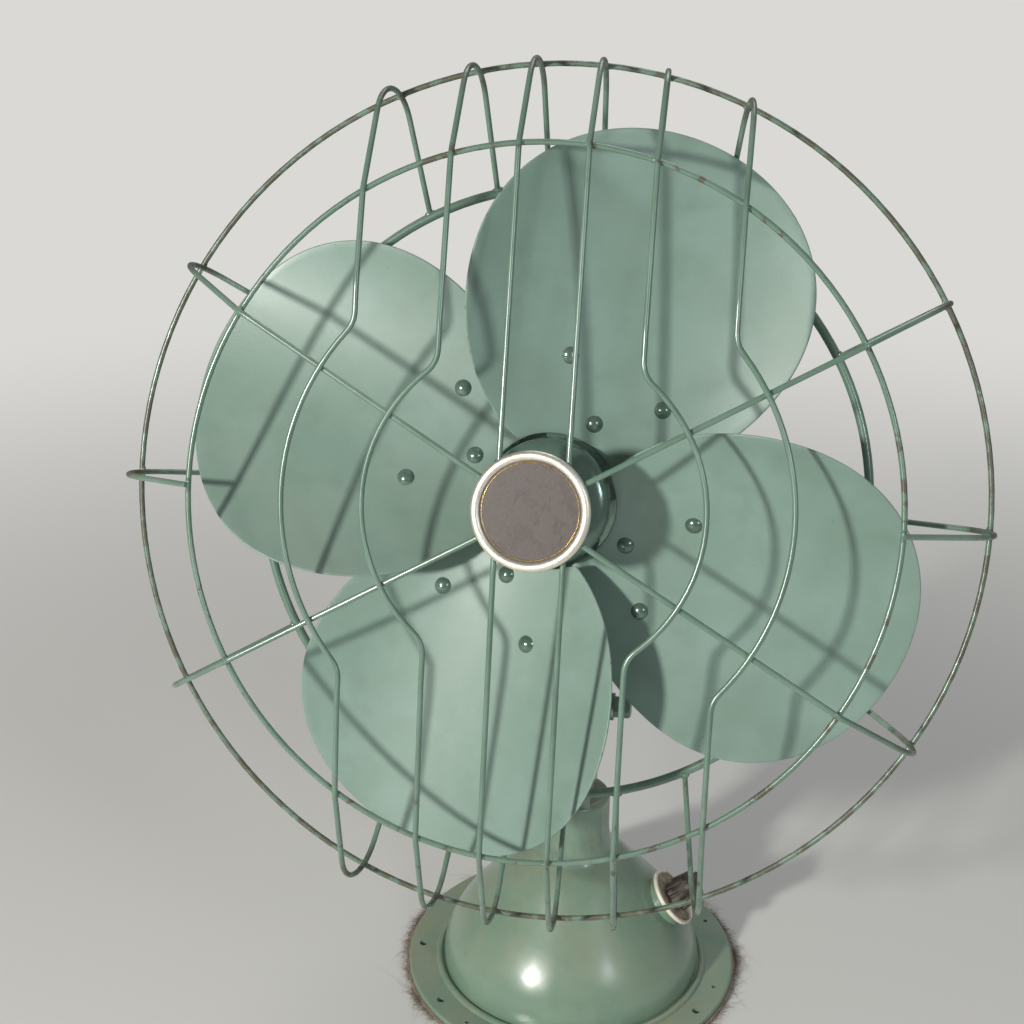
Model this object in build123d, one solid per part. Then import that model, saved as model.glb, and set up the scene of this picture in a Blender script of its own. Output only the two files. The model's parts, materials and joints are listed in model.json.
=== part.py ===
from build123d import *
from math import acos, atan2, cos, degrees, pi, radians, sin, sqrt
import os

# Electric desk fan with a welded wire guard. Millimetres. The base's upright axis is Z, the table
# is Z = 0, and the fan faces -Y with its head tilted up. Three frames are used:
#   base frame    the part's own frame
#   swivel frame  origin at the tilt bolt, Z up along the oscillation axis
#   spin frame    origin at the guard's widest ring, Y along the spin axis, towards the back

# ---- where the head stands ----
HINGE_HEIGHT = 193.0          # tilt bolt above the table
TILT_UP = 17.5                # degrees, head's resting tilt
HEAD_REACH = 133.9            # oscillation axis to the guard's widest ring, along the spin axis
HEAD_RISE = 138.0             # tilt bolt to the spin axis, along the oscillation axis
SPIN_OFFSET = 5.75            # spin axis beside the oscillation axis

# ---- fits ----
RUNNING_CLEARANCE = 0.05      # radial, shafts and pins in their bores
FREE_GAP = 0.4                # between faces that pass each other
WELD_SINK = 0.2               # how far welded wires sink into each other

# ---- guard ----
WIRE_R = 1.5
REAR_RING_WIRE_R = 2.5
OUTER_RING_R = 230.0
FRONT_RING_R = 183.0
FRONT_RING_Y = -53.7
REAR_RING_R = 170.0
REAR_RING_Y = 35.5
CENTRE_WIRE_X = 17.6
MIDDLE_WIRE_X = 51.6
SIDE_WIRE_X = 95.8
MIDDLE_ARC_R = 87.5           # middle wires bow round the badge at this radius
SIDE_ARC_R = 130.5
ARC_BEND_R = 15.0             # bend between a wire's straight run and its bow
RUN_BEND_R = 40.0             # gentle bends of the front runs
FRONT_BEND_R = 9.0            # bend over the front ring
HAIRPIN_BEND_R = 25.0         # bend inside the outer ring
HAIRPIN_RING_ANGLE = 62.0     # from straight back to the side where the bend meets the outer ring
REAR_LEG_SHARE = 0.84         # a wire's sideways place on the rear ring against its front run
SPOKE_ANGLE = 30.0            # above and below level, on both sides
SPOKE_START_R = 25.0
STRUT_WIDTH = 12.0
STRUT_THICK = 2.5
STRUT_ANGLES = (45, 135, 225, 315)
STRUT_SCREW_REACH = 42.0
STRUT_TAB_R = 35.0
STRUT_SCREW_R = 2.0
STRUT_SCREW_HEAD_R = 4.0
STRUT_SCREW_HEAD = 2.4
STRUT_SCREW_LENGTH = 9.0

# ---- badge ----
BADGE_R = 30.5
BADGE_RIM_WIDTH = 4.6
BADGE_PLATE_THICK = 1.5
BADGE_RIM_HEIGHT = 3.2
BADGE_WIRE_Y = -62.5          # centres of the wires behind the badge
BADGE_CLAMP_R = 26.5
BADGE_CLAMP_THICK = 2.0
BADGE_RIVET_R = 2.0
BADGE_RIVET_REACH = 9.0       # rivets above and below the centre, between the wires

# ---- blades ----
BLADE_COUNT = 4
BLADE_ANGLE = 74.7            # first blade's rulings, from level
BLADE_THICK = 1.4
BLADE_CURVE_R = 172.0         # radius of the bent sheet
BLADE_CREST_V = -50.0         # sheet is square to the axis here, across the rulings
BLADE_CREST_Y = 8.5           # front face there
LOBE_U = 113.7                # lobe centre, along and across the rulings
LOBE_V = -12.9
LOBE_R = 90.0
LOBE_OVAL = 3.3               # lobe is drawn out by this much along LOBE_OVAL_ANGLE
LOBE_OVAL_ANGLE = -12.5
LOBE_EGG = 2.4                # and blunter towards LOBE_EGG_ANGLE
LOBE_EGG_ANGLE = 49.2
LOBE_POINTS = 20
BLADE_ROOT_R = 36.5

# ---- hub and spider ----
SHAFT_R = 4.0
HUB_R = 34.0
HUB_WALL = 1.6
HUB_FRONT_Y = -7.0            # rim of the dome
HUB_BACK_Y = 17.0
HUB_DOME = 11.0               # how far the dome stands forward of its rim
HUB_NOSE_R = 9.0
ARM_THICK = 2.2
ARM_HALF_WIDTH = 30.0
ARM_LENGTH = 90.0
RIVETS = ((77.5, 13.4), (65.0, -41.5), (46.5, -9.6))
RIVET_HEAD_R = 4.7
RIVET_HEAD_HEIGHT = 2.4
RIVET_SHANK_R = 2.0
BUSH_R = 11.0
BUSH_FRONT_Y = -14.0
BUSH_BACK_Y = 26.0
SET_SCREW_R = 2.0

# ---- motor ----
MOTOR_R = 62.0
MOTOR_WALL = 3.0
MOTOR_FACE_Y = 62.0
MOTOR_SPLIT_Y = 126.0
MOTOR_BACK_Y = 184.0
MOTOR_SHOULDER_R = 52.0       # flat part of both end faces
BEARING_NOSE_R = 15.0
BEARING_NOSE_Y = 48.0
BEARING_R = 9.0
BEARING_LENGTH = 18.0
STATOR_IN_R = 38.0
STATOR_LENGTH = 46.0
WINDING_IN_R = 41.0
WINDING_OUT_R = 55.0
WINDING_LENGTH = 15.0
ROTOR_GAP = 0.5
ROTOR_END_RING = 7.0
ROTOR_HUB_R = 12.0
VENT_COUNT = 12
VENT_WIDTH = 5.0
VENT_LENGTH = 22.0
TIE_BOLT_R = 2.5
TIE_BOLT_REACH = 47.0         # tie bolts from the spin axis
TIE_BOLT_ANGLES = (0, 90, 180, 270)

# ---- gearbox ----
GEAR_MODULE = 1.0
WORM_PITCH_R = 5.0
WORM_CORE_R = 3.7
FIRST_WHEEL_TEETH = 20
SECOND_WHEEL_TEETH = 24
WHEEL_WIDTH = 4.0
MESH_SLACK = 0.35             # extra centre distance of each worm and wheel
TOOTH_SHARE = 0.40            # of the pitch, at the pitch line
WORM_Y = 204.0                # first worm's middle on the motor shaft
WORM_LENGTH = 15.0
CROSS_SHAFT_R = 2.5
SECOND_WORM_X = 18.0
SECOND_WORM_LENGTH = 12.0
SPINDLE_R = 3.0
CRANK_R = 13.0
CRANK_THICK = 3.0
CRANK_THROW = 9.0
CRANK_PIN_R = 2.5
GEARBOX_WALL = 2.5
GEARBOX_LOW_X = -17.0
GEARBOX_HIGH_X = 36.0
GEARBOX_BACK_Y = 239.0
GEARBOX_LOW_Z = -31.0
GEARBOX_HIGH_Z = 13.0
GEARBOX_LID_THICK = 3.0
SPINDLE_BOSS_R = 8.0
CLUTCH_KNOB_R = 9.0
CLUTCH_KNOB_HEIGHT = 12.0
CLUTCH_LIFT = 6.0
CLUTCH_ROD_R = 2.0

# ---- swivel and tilt ----
HINGE_BOLT_R = 5.0
TONGUE_R = 17.0
TONGUE_HALF_WIDTH = 7.2
SWIVEL_HUB_R = 16.0
SWIVEL_HUB_LOW = 23.0         # above the tilt bolt, along the oscillation axis
SWIVEL_HUB_TOP = 46.0
STUD_R = 7.0
STUD_LOW = 8.5
STUD_COLLAR_R = 9.5
WASHER_THICK = 1.5
WASHER_R = 15.0
FOOT_R = 18.0
FOOT_BOTTOM = 62.0            # motor foot's underside above the tilt bolt
LINK_EAR_REACH = 27.0         # link's pivot from the oscillation axis
LINK_THICK = 3.0
LINK_BOTTOM = 53.0            # above the tilt bolt
LINK_EYE_R = 5.5
LINK_PIN_R = 2.2
LINK_WIDTH = 8.0
EAR_GAP = 0.5                 # link pin's end above the ear

# ---- base ----
FELT_THICK = 2.0
FELT_IN_R = 72.0
FELT_OVERHANG = 1.2
FLANGE_R = 107.3
FLANGE_THICK = 3.0
BEAD_R = 87.2
BEAD_HALF_WIDTH = 2.6
DOME_R = 84.0
BASE_WALL = 3.0
NECK_R = 23.0
BELL_POINTS = ((80.5, 24.0), (71.5, 40.0), (51.0, 64.5), (33.0, 84.0))   # radius and height
NECK_START_Z = 112.0
NECK_FLOOR_Z = 120.0          # hollow of the base ends here
NECK_TOP_Z = 130.0
NECK_TOP_ROUND = 4.0
FORK_HALF_WIDTH = 12.6
FORK_TOP_R = 19.0
FORK_FLOOR_Z = 171.0          # bottom of the slot between the cheeks
FORK_BOSS_R = 8.5             # round bosses of the cheeks, out to HINGE_FACE_X
HINGE_FACE_X = 23.0
CHANNEL_R = 5.0               # wire way up through the neck
LARGE_HOLE_R = 2.6
LARGE_HOLE_ANGLES = (-174, -139, -28, 92)
SMALL_HOLE_R = 1.4
SMALL_HOLE_ANGLES = (-123, -12, 29)
FLANGE_HOLE_REACH = 98.5
PLATE_THICK = 1.5
PLATE_R = 79.0
PLATE_SCREW_R = 2.0
PLATE_SCREW_REACH = 66.0
PLATE_SCREW_ANGLES = (60, 180, 300)
POST_R = 6.0
NUT_R = 6.5
NUT_LENGTH = 10.5
HINGE_WASHER_THICK = 1.2
BOLT_HEAD_LENGTH = 6.0

# ---- switch, on the +X shoulder of the bell ----
SWITCH_RADIUS = 62.5          # dial centre from the base axis
SWITCH_HEIGHT = 52.5
SWITCH_ELEVATION = 40.0       # dial's normal above level
SWITCH_AZIMUTH = 1.0
DIAL_R = 19.0
DIAL_THICK = 1.2
DIAL_RIM_WIDTH = 1.6
DIAL_RIM_HEIGHT = 2.2
SEAT_R = 16.5
SEAT_HEIGHT = 3.6             # boss under the dial
SWITCH_BODY_R = 14.0
SWITCH_BODY_DEPTH = 20.0
SWITCH_STEM_R = 3.0
SWITCH_NECK_R = 5.0
SWITCH_NUT_R = 7.0
SWITCH_NUT_THICK = 2.0
KNOB_R = 11.0
KNOB_HEIGHT = 15.0
KNOB_FLUTES = 12
KNOB_SCALE = 0.86             # knob's top against its foot
KNOB_BAR_WIDTH = 5.0

# ---- speed coil, terminals and cord bushing ----
COIL_CORE = (44.0, 16.0, 36.0)
COIL_WINDOW = (24.0, 20.0)
COIL_SIZE = (22.0, 30.0, 19.0)
COIL_Y = 34.0
COIL_GAP = 0.3
TERMINAL_SIZE = (46.0, 12.0, 10.0)
TERMINAL_Y = -38.0
BUSHING_R = 7.0
BUSHING_BORE_R = 3.6
BUSHING_FLANGE_R = 9.5
BUSHING_Z = 18.0

BASE_BOTTOM_Z = FELT_THICK
FLANGE_TOP_Z = FELT_THICK + FLANGE_THICK
PLATE_TOP_Z = BASE_BOTTOM_Z + PLATE_THICK

SWIVEL = Pos(0, 0, HINGE_HEIGHT) * Rot(-TILT_UP, 0, 0)
SPIN = SWIVEL * Pos(-SPIN_OFFSET, -HEAD_REACH, HEAD_RISE)


# ---------------------------------------------------------------- shapes used by several pieces
def rod_y(radius, start, end, x=0.0, z=0.0):
    """Cylinder along Y from start to end."""
    return Pos(x, (start + end) / 2, z) * Rot(90, 0, 0) * Cylinder(radius, end - start)


def rod_x(radius, start, end, y=0.0, z=0.0):
    """Cylinder along X from start to end."""
    return Pos((start + end) / 2, y, z) * Rot(0, 90, 0) * Cylinder(radius, end - start)


def rod_z(radius, start, end, x=0.0, y=0.0):
    """Cylinder along Z from start to end."""
    return Pos(x, y, (start + end) / 2) * Cylinder(radius, end - start)


def turned(points):
    """Solid turned about Y from a closed outline of radius and Y."""
    return revolve(make_face(Polyline(*points, close=True)), Axis.Y)


def ring_y(radius, wire_r, y):
    """Wire ring about the spin axis."""
    return Pos(0, y, 0) * Rot(90, 0, 0) * Torus(radius, wire_r)


def swept_wire(edges, wire_r):
    """Round wire along a chain of edges."""
    path = Wire(edges)
    return sweep(Plane(origin=path @ 0, z_dir=path % 0) * Circle(wire_r), path=path)


def around_spin(shape, angle):
    """Turn about the spin axis, counted from level towards up."""
    return Rot(0, -angle, 0) * shape


def solids_of(shapes):
    """Separate solids of one node."""
    return Compound(children=[solid for shape in shapes for solid in shape.solids()])


# ---------------------------------------------------------------- guard
def tangent_point(point, centre, radius, side):
    """Where a line from a point touches a circle; side is +1 or -1."""
    dx, dy = point[0] - centre[0], point[1] - centre[1]
    distance = sqrt(dx * dx + dy * dy)
    angle = atan2(dy, dx) + side * acos(radius / distance)
    return (centre[0] + radius * cos(angle), centre[1] + radius * sin(angle))


def crossing(a, b, c, d):
    """Crossing point of line ab with line cd."""
    abx, aby = b[0] - a[0], b[1] - a[1]
    cdx, cdy = d[0] - c[0], d[1] - c[1]
    share = ((c[0] - a[0]) * cdy - (c[1] - a[1]) * cdx) / (abx * cdy - aby * cdx)
    return (a[0] + share * abx, a[1] + share * aby)


def line_distance(point, a, b):
    """Distance of a point from the line ab."""
    dx, dy = b[0] - a[0], b[1] - a[1]
    return abs((point[0] - a[0]) * dy - (point[1] - a[1]) * dx) / sqrt(dx * dx + dy * dy)


FRONT_WIRE_Y = FRONT_RING_Y - 2 * WIRE_R + WELD_SINK


def hook_corners(offset):
    """Rear end, corner and front contact of a wire's hook, each as side, reach and Y.

    The front run keeps its offset beside the spin axis; the rear leg leans in towards the axis.
    """
    rear_side = offset * REAR_LEG_SHARE
    front = (sqrt(FRONT_RING_R**2 - offset**2), FRONT_WIRE_Y)
    rear = (sqrt(REAR_RING_R**2 - rear_side**2), REAR_RING_Y)
    angle = radians(HAIRPIN_RING_ANGLE)
    contact_side = offset
    for _ in range(4):
        ring = sqrt(OUTER_RING_R**2 - contact_side**2)
        slant = sqrt(cos(angle) ** 2 + (sin(angle) * OUTER_RING_R / ring) ** 2)
        gap = HAIRPIN_BEND_R + WIRE_R + WIRE_R * slant - WELD_SINK
        centre = (ring - gap * sin(angle), -gap * cos(angle))
        rear_touch = tangent_point(rear, centre, HAIRPIN_BEND_R, -1)
        front_touch = tangent_point(front, centre, HAIRPIN_BEND_R, 1)
        corner = crossing(rear, rear_touch, front, front_touch)
        share = line_distance((ring, 0), front, corner) / line_distance(rear, front, corner)
        contact_side = offset + share * (rear_side - offset)
    length = sqrt((corner[0] - rear[0]) ** 2 + (corner[1] - rear[1]) ** 2)
    stop = (REAR_RING_WIRE_R - WELD_SINK) / length
    end = (rear_side + stop * (offset - rear_side), rear[0] + stop * (corner[0] - rear[0]),
           rear[1] + stop * (corner[1] - rear[1]))
    return end, (offset, *corner), (offset, *front)


def hook_path(offset, inner, bends, place):
    """Edges from the rear ring to the inner points, which are reach and Y beside the axis.

    place turns side, reach and Y into a 3-D point.
    """
    points = [place(*p) for p in hook_corners(offset)]
    points += [place(offset, *p) for p in inner]
    return FilletPolyline(*points, radius=[HAIRPIN_BEND_R, *bends])


def spoke_y(reach):
    """Y of a spoke's centre line between the badge and the front ring."""
    share = (reach - SPOKE_START_R) / (FRONT_RING_R - SPOKE_START_R)
    return BADGE_WIRE_Y + share * (FRONT_WIRE_Y - BADGE_WIRE_Y)


def centre_wire(x):
    """Straight hairpin wire that passes behind the badge."""
    side = 1 if x > 0 else -1
    inner = [(BADGE_R, BADGE_WIRE_Y), (0, BADGE_WIRE_Y)]
    edges = []
    for up in (1, -1):
        path = hook_path(abs(x), inner, [FRONT_BEND_R, RUN_BEND_R],
                         lambda across, reach, y: (side * across, y, up * reach))
        edges += path.edges()
    return swept_wire(edges, WIRE_R)


def bowed_wire(x, arc_r):
    """Hairpin wire that bows round the badge on an arc about the spin axis."""
    side = 1 if x > 0 else -1
    reach_x = abs(x)
    arc_y = spoke_y(arc_r) - 2 * WIRE_R + WELD_SINK
    bend_z = sqrt((arc_r + ARC_BEND_R) ** 2 - (reach_x + ARC_BEND_R) ** 2)
    share = arc_r / (arc_r + ARC_BEND_R)
    join = (side * share * (reach_x + ARC_BEND_R), share * bend_z)
    half = acos((reach_x + ARC_BEND_R) / (arc_r + ARC_BEND_R)) / 2
    middle = (side * (reach_x + ARC_BEND_R - ARC_BEND_R * cos(half)), bend_z - ARC_BEND_R * sin(half))
    inner = [(bend_z + ARC_BEND_R, arc_y), (bend_z, arc_y)]

    def half_wire(up):
        hook = hook_path(reach_x, inner, [FRONT_BEND_R, RUN_BEND_R],
                         lambda across, reach, y: (side * across, y, up * reach))
        bend = ThreePointArc((x, arc_y, up * bend_z), (middle[0], arc_y, up * middle[1]),
                             (join[0], arc_y, up * join[1]))
        return hook.edges() + bend.edges()

    bow = ThreePointArc((join[0], arc_y, join[1]), (side * arc_r, arc_y, 0),
                        (join[0], arc_y, -join[1]))
    return swept_wire(half_wire(1) + bow.edges() + half_wire(-1), WIRE_R)


def hooked_wire(inner, bends, angle):
    """Wire in a plane through the spin axis, from the rear ring to the inner points."""
    path = hook_path(0, inner, bends, lambda across, reach, y: (reach, y, across))
    return around_spin(swept_wire(path.edges(), WIRE_R), angle)


def spoke(angle):
    """Straight wire from behind the badge that hooks over the rings."""
    return hooked_wire([(SPOKE_START_R, BADGE_WIRE_Y)], [FRONT_BEND_R], angle)


def side_loop(angle):
    """Short wire from the front ring round the outer ring to the rear ring."""
    return hooked_wire([], [], angle)


def guard_strut(angle):
    """Flat bar from the rear ring to the motor's face."""
    ring_back = REAR_RING_Y + REAR_RING_WIRE_R + STRUT_THICK / 2 - WELD_SINK
    tab_y = MOTOR_FACE_Y - STRUT_THICK / 2
    line = Polyline((REAR_RING_R + STRUT_WIDTH / 2, ring_back), (REAR_RING_R - STRUT_WIDTH, ring_back),
                    (MOTOR_SHOULDER_R + STRUT_THICK, tab_y), (STRUT_TAB_R, tab_y))
    bar = extrude(trace(line, STRUT_THICK), STRUT_WIDTH / 2, both=True)
    hole = rod_y(STRUT_SCREW_R, tab_y - STRUT_THICK, tab_y + STRUT_THICK, x=STRUT_SCREW_REACH)
    return around_spin(bar - hole, angle)


def strut_screw(angle):
    """Round-headed screw through a strut's tab into the motor's face."""
    head_y = MOTOR_FACE_Y - STRUT_THICK
    screw = rod_y(STRUT_SCREW_R, head_y, head_y + STRUT_SCREW_LENGTH, x=STRUT_SCREW_REACH)
    head = rod_y(STRUT_SCREW_HEAD_R, head_y - STRUT_SCREW_HEAD, head_y, x=STRUT_SCREW_REACH)
    head = fillet(head.edges().sort_by(Axis.Y)[0], STRUT_SCREW_HEAD / 2)
    return around_spin(screw + head, angle)


# ---------------------------------------------------------------- badge
BADGE_FRONT_Y = BADGE_WIRE_Y - WIRE_R - BADGE_PLATE_THICK
BADGE_BACK_Y = BADGE_WIRE_Y + WIRE_R + BADGE_CLAMP_THICK


def badge_plate():
    """Disc in front of the wires, with its two rivet holes."""
    disc = rod_y(BADGE_R - FREE_GAP, BADGE_FRONT_Y, BADGE_FRONT_Y + BADGE_PLATE_THICK)
    return disc - badge_rivet_shanks()


def badge_rim():
    """Raised ring round the badge, with a rounded face."""
    inner = BADGE_R - BADGE_RIM_WIDTH
    front = BADGE_FRONT_Y - BADGE_RIM_HEIGHT + BADGE_PLATE_THICK
    middle = (inner + BADGE_R) / 2
    face = make_face([
        Line((inner, BADGE_FRONT_Y), (inner, BADGE_FRONT_Y - 0.6)),
        ThreePointArc((inner, BADGE_FRONT_Y - 0.6), (middle, front), (BADGE_R, BADGE_FRONT_Y - 0.3)),
        Polyline((BADGE_R, BADGE_FRONT_Y - 0.3), (BADGE_R, BADGE_FRONT_Y + BADGE_PLATE_THICK),
                 (BADGE_R - FREE_GAP, BADGE_FRONT_Y + BADGE_PLATE_THICK),
                 (BADGE_R - FREE_GAP, BADGE_FRONT_Y), (inner, BADGE_FRONT_Y)),
    ])
    return revolve(face, Axis.Y)


def badge_rivet_shanks():
    """Two rivet shanks between the centre wires."""
    return [rod_y(BADGE_RIVET_R, BADGE_FRONT_Y, BADGE_BACK_Y, z=up * BADGE_RIVET_REACH)
            for up in (1, -1)]


def badge_clamp():
    """Disc behind the wires that the rivets pull against the badge."""
    disc = rod_y(BADGE_CLAMP_R, BADGE_BACK_Y - BADGE_CLAMP_THICK, BADGE_BACK_Y)
    return disc - badge_rivet_shanks()


def badge_rivets():
    """Two rivets with flat heads behind the clamp, flush in the badge's face."""
    heads = [rod_y(2 * BADGE_RIVET_R, BADGE_BACK_Y, BADGE_BACK_Y + 1.2, z=up * BADGE_RIVET_REACH)
             for up in (1, -1)]
    return solids_of([shank + head for shank, head in zip(badge_rivet_shanks(), heads)])


# ---------------------------------------------------------------- blades and hub
BLADE_CENTRE_Y = BLADE_CREST_Y - BLADE_CURVE_R


def bent_sheet(inner_offset, thickness):
    """Sheet bent about a line along the rulings; offsets count backwards from the front face."""
    inner = BLADE_CURVE_R + inner_offset
    section = Circle(inner + thickness) - Circle(inner)
    tube = extrude(Plane.YZ * section, ARM_LENGTH + OUTER_RING_R)
    return Pos(0, BLADE_CENTRE_Y, BLADE_CREST_V) * tube


def lobe_radius(angle):
    """Lobe's radius about its own centre, in the direction of angle in degrees."""
    oval = LOBE_OVAL * cos(radians(2 * (angle - LOBE_OVAL_ANGLE)))
    egg = LOBE_EGG * cos(radians(3 * (angle - LOBE_EGG_ANGLE)))
    return LOBE_R + oval + egg


def lobe_prism():
    """Blade's outline as seen from the front, cut clear of the hub."""
    points = []
    for step in range(LOBE_POINTS):
        angle = 360 * step / LOBE_POINTS
        radius = lobe_radius(angle)
        points.append((LOBE_U + radius * cos(radians(angle)), LOBE_V + radius * sin(radians(angle))))
    outline = Plane.XZ * make_face(Spline(*points, periodic=True))
    prism = extrude(outline, BLADE_CURVE_R / 2, both=True)
    return prism - rod_y(BLADE_ROOT_R, -BLADE_CURVE_R, BLADE_CURVE_R)


def on_sheet(u, v):
    """Frame on the blade's front face at u, v, with its Z along the sheet's normal to the front."""
    slope = (v - BLADE_CREST_V) / BLADE_CURVE_R
    y = BLADE_CENTRE_Y + BLADE_CURVE_R * sqrt(1 - slope * slope)
    normal = (0, -sqrt(1 - slope * slope), -slope)
    return Plane(origin=(u, y, v), x_dir=(1, 0, 0), z_dir=normal)


def rivet_holes():
    """Shank-sized cutters through a blade and its arm."""
    depth = BLADE_THICK + ARM_THICK
    return [on_sheet(u, v) * Pos(0, 0, -depth / 2) * Cylinder(RIVET_SHANK_R, 3 * depth)
            for u, v in RIVETS]


def blade():
    """One lobe of bent sheet with its rivet holes."""
    return (bent_sheet(0, BLADE_THICK) & lobe_prism()) - rivet_holes()


def blade_rivet(u, v):
    """Rivet with a domed head in front and a flat tail behind the arm."""
    depth = BLADE_THICK + ARM_THICK
    cap_r = (RIVET_HEAD_R**2 + RIVET_HEAD_HEIGHT**2) / (2 * RIVET_HEAD_HEIGHT)
    cap = Pos(0, 0, RIVET_HEAD_HEIGHT - cap_r) * Sphere(cap_r)
    cap = cap & (Pos(0, 0, RIVET_HEAD_HEIGHT / 2) * Cylinder(RIVET_HEAD_R, RIVET_HEAD_HEIGHT))
    shank = Pos(0, 0, -depth / 2) * Cylinder(RIVET_SHANK_R, depth)
    tail = Pos(0, 0, -depth - 0.6) * Cylinder(1.6 * RIVET_SHANK_R, 1.2)
    return on_sheet(u, v) * (cap + shank + tail)


def spider_arm():
    """Pad behind one blade, reaching from the hub to the outer rivets."""
    outline = make_face(Polyline((HUB_R - HUB_WALL, 12), (60, 24), (86, 22), (ARM_LENGTH, 6),
                                 (84, -30), (74, -52), (60, -54), (HUB_R - HUB_WALL, -22),
                                 close=True))
    outline = fillet(outline.vertices().filter_by(lambda p: p.X > HUB_R), 6)
    prism = extrude(Plane.XZ * outline, BLADE_CURVE_R / 2, both=True)
    arm = bent_sheet(BLADE_THICK, ARM_THICK) & prism
    return (arm - rivet_holes()) - rod_y(HUB_R - HUB_WALL, -BLADE_CURVE_R, BLADE_CURVE_R)


def hub_spider():
    """Pressed hub: a domed cup with a flange inside for the bush, and an arm for each blade."""
    apex = HUB_FRONT_Y - HUB_DOME
    outer = make_face([
        Line((0, apex), (0, HUB_BACK_Y)),
        Line((0, HUB_BACK_Y), (HUB_R, HUB_BACK_Y)),
        Line((HUB_R, HUB_BACK_Y), (HUB_R, HUB_FRONT_Y)),
        Spline((HUB_R, HUB_FRONT_Y), (HUB_R * 0.72, HUB_FRONT_Y - HUB_DOME * 0.72), (0, apex),
               tangents=[(0, -1), (-1, 0)]),
    ])
    inside_r = HUB_R - HUB_WALL
    inner = make_face([
        Line((0, apex + HUB_WALL), (0, HUB_BACK_Y + 1)),
        Line((0, HUB_BACK_Y + 1), (inside_r, HUB_BACK_Y + 1)),
        Line((inside_r, HUB_BACK_Y + 1), (inside_r, HUB_FRONT_Y)),
        Spline((inside_r, HUB_FRONT_Y),
               (inside_r * 0.72, HUB_FRONT_Y + HUB_WALL - HUB_DOME * 0.72), (0, apex + HUB_WALL),
               tangents=[(0, -1), (-1, 0)]),
    ])
    cup = revolve(outer, Axis.Y) - revolve(inner, Axis.Y)
    web = rod_y(inside_r + HUB_WALL / 2, HUB_BACK_Y - 4, HUB_BACK_Y - 1)
    spider = cup + web
    for turn in range(BLADE_COUNT):
        spider += around_spin(spider_arm(), BLADE_ANGLE + 360 * turn / BLADE_COUNT)
    return spider - rod_y(BUSH_R, BUSH_FRONT_Y - 2 * HUB_DOME, BUSH_BACK_Y)


def hub_bush():
    """Turned bush pressed in the hub, with a nose in front and a bore for the shaft."""
    apex = HUB_FRONT_Y - HUB_DOME
    body = rod_y(BUSH_R, apex, BUSH_BACK_Y) + rod_y(HUB_NOSE_R, apex - 4, apex)
    collar = rod_y(BUSH_R + 3, HUB_BACK_Y - 1, BUSH_BACK_Y)
    screw_hole = rod_z(SET_SCREW_R, 0, BUSH_R + 6, y=(HUB_BACK_Y - 1 + BUSH_BACK_Y) / 2)
    return body + collar - rod_y(SHAFT_R, apex, BUSH_BACK_Y) - screw_hole


def set_screw():
    """Grub screw that holds the bush to the shaft."""
    return rod_z(SET_SCREW_R, SHAFT_R, BUSH_R + 4, y=(HUB_BACK_Y - 1 + BUSH_BACK_Y) / 2)


# ---------------------------------------------------------------- motor
STATOR_FRONT_Y = MOTOR_SPLIT_Y - STATOR_LENGTH / 2
STATOR_BACK_Y = MOTOR_SPLIT_Y + STATOR_LENGTH / 2
REAR_BEARING_Y = MOTOR_BACK_Y - MOTOR_WALL - BEARING_LENGTH


def motor_front_shell():
    """Front bell end: rounded shoulder, flat face, bearing nose, vents and strut screw holes."""
    shoulder = MOTOR_R - MOTOR_SHOULDER_R
    outer = make_face([
        Polyline((0, BEARING_NOSE_Y), (BEARING_NOSE_R - 2, BEARING_NOSE_Y),
                 (BEARING_NOSE_R, BEARING_NOSE_Y + 2), (BEARING_NOSE_R, MOTOR_FACE_Y),
                 (MOTOR_SHOULDER_R, MOTOR_FACE_Y)),
        ThreePointArc((MOTOR_SHOULDER_R, MOTOR_FACE_Y),
                      (MOTOR_SHOULDER_R + shoulder * sin(pi / 4),
                       MOTOR_FACE_Y + shoulder * (1 - cos(pi / 4))),
                      (MOTOR_R, MOTOR_FACE_Y + shoulder)),
        Polyline((MOTOR_R, MOTOR_FACE_Y + shoulder), (MOTOR_R, MOTOR_SPLIT_Y), (0, MOTOR_SPLIT_Y),
                 (0, BEARING_NOSE_Y)),
    ])
    bore = MOTOR_R - MOTOR_WALL
    hollow = turned([(BEARING_R + 3, MOTOR_FACE_Y + MOTOR_WALL),
                     (MOTOR_SHOULDER_R, MOTOR_FACE_Y + MOTOR_WALL),
                     (bore, MOTOR_FACE_Y + shoulder), (bore, MOTOR_SPLIT_Y + 1),
                     (BEARING_R + 3, MOTOR_SPLIT_Y + 1)])
    throat = rod_y(BEARING_R + 4, MOTOR_FACE_Y + MOTOR_WALL + 4, MOTOR_SPLIT_Y + 1)
    shell = revolve(outer, Axis.Y) - hollow - throat
    shell -= rod_y(BEARING_R, BEARING_NOSE_Y, MOTOR_SPLIT_Y)
    shell -= [around_spin(rod_y(STRUT_SCREW_R, MOTOR_FACE_Y - 1, MOTOR_FACE_Y + STRUT_SCREW_LENGTH,
                                x=STRUT_SCREW_REACH), angle) for angle in STRUT_ANGLES]
    return shell - vent_slots(MOTOR_FACE_Y + MOTOR_WALL + 9) - tie_bolt_shanks()


def vent_slots(start_y):
    """Radial cooling slots along the cylindrical wall, clear of the foot below."""
    slots = []
    for turn in range(VENT_COUNT):
        angle = 360 * (turn + 0.5) / VENT_COUNT
        if abs(angle - 270) < 2 * 360 / VENT_COUNT:
            continue
        slot = Pos(MOTOR_R - MOTOR_WALL / 2, start_y + VENT_LENGTH / 2, 0)
        slots.append(around_spin(slot * Box(3 * MOTOR_WALL, VENT_LENGTH, VENT_WIDTH), angle))
    return slots


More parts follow.
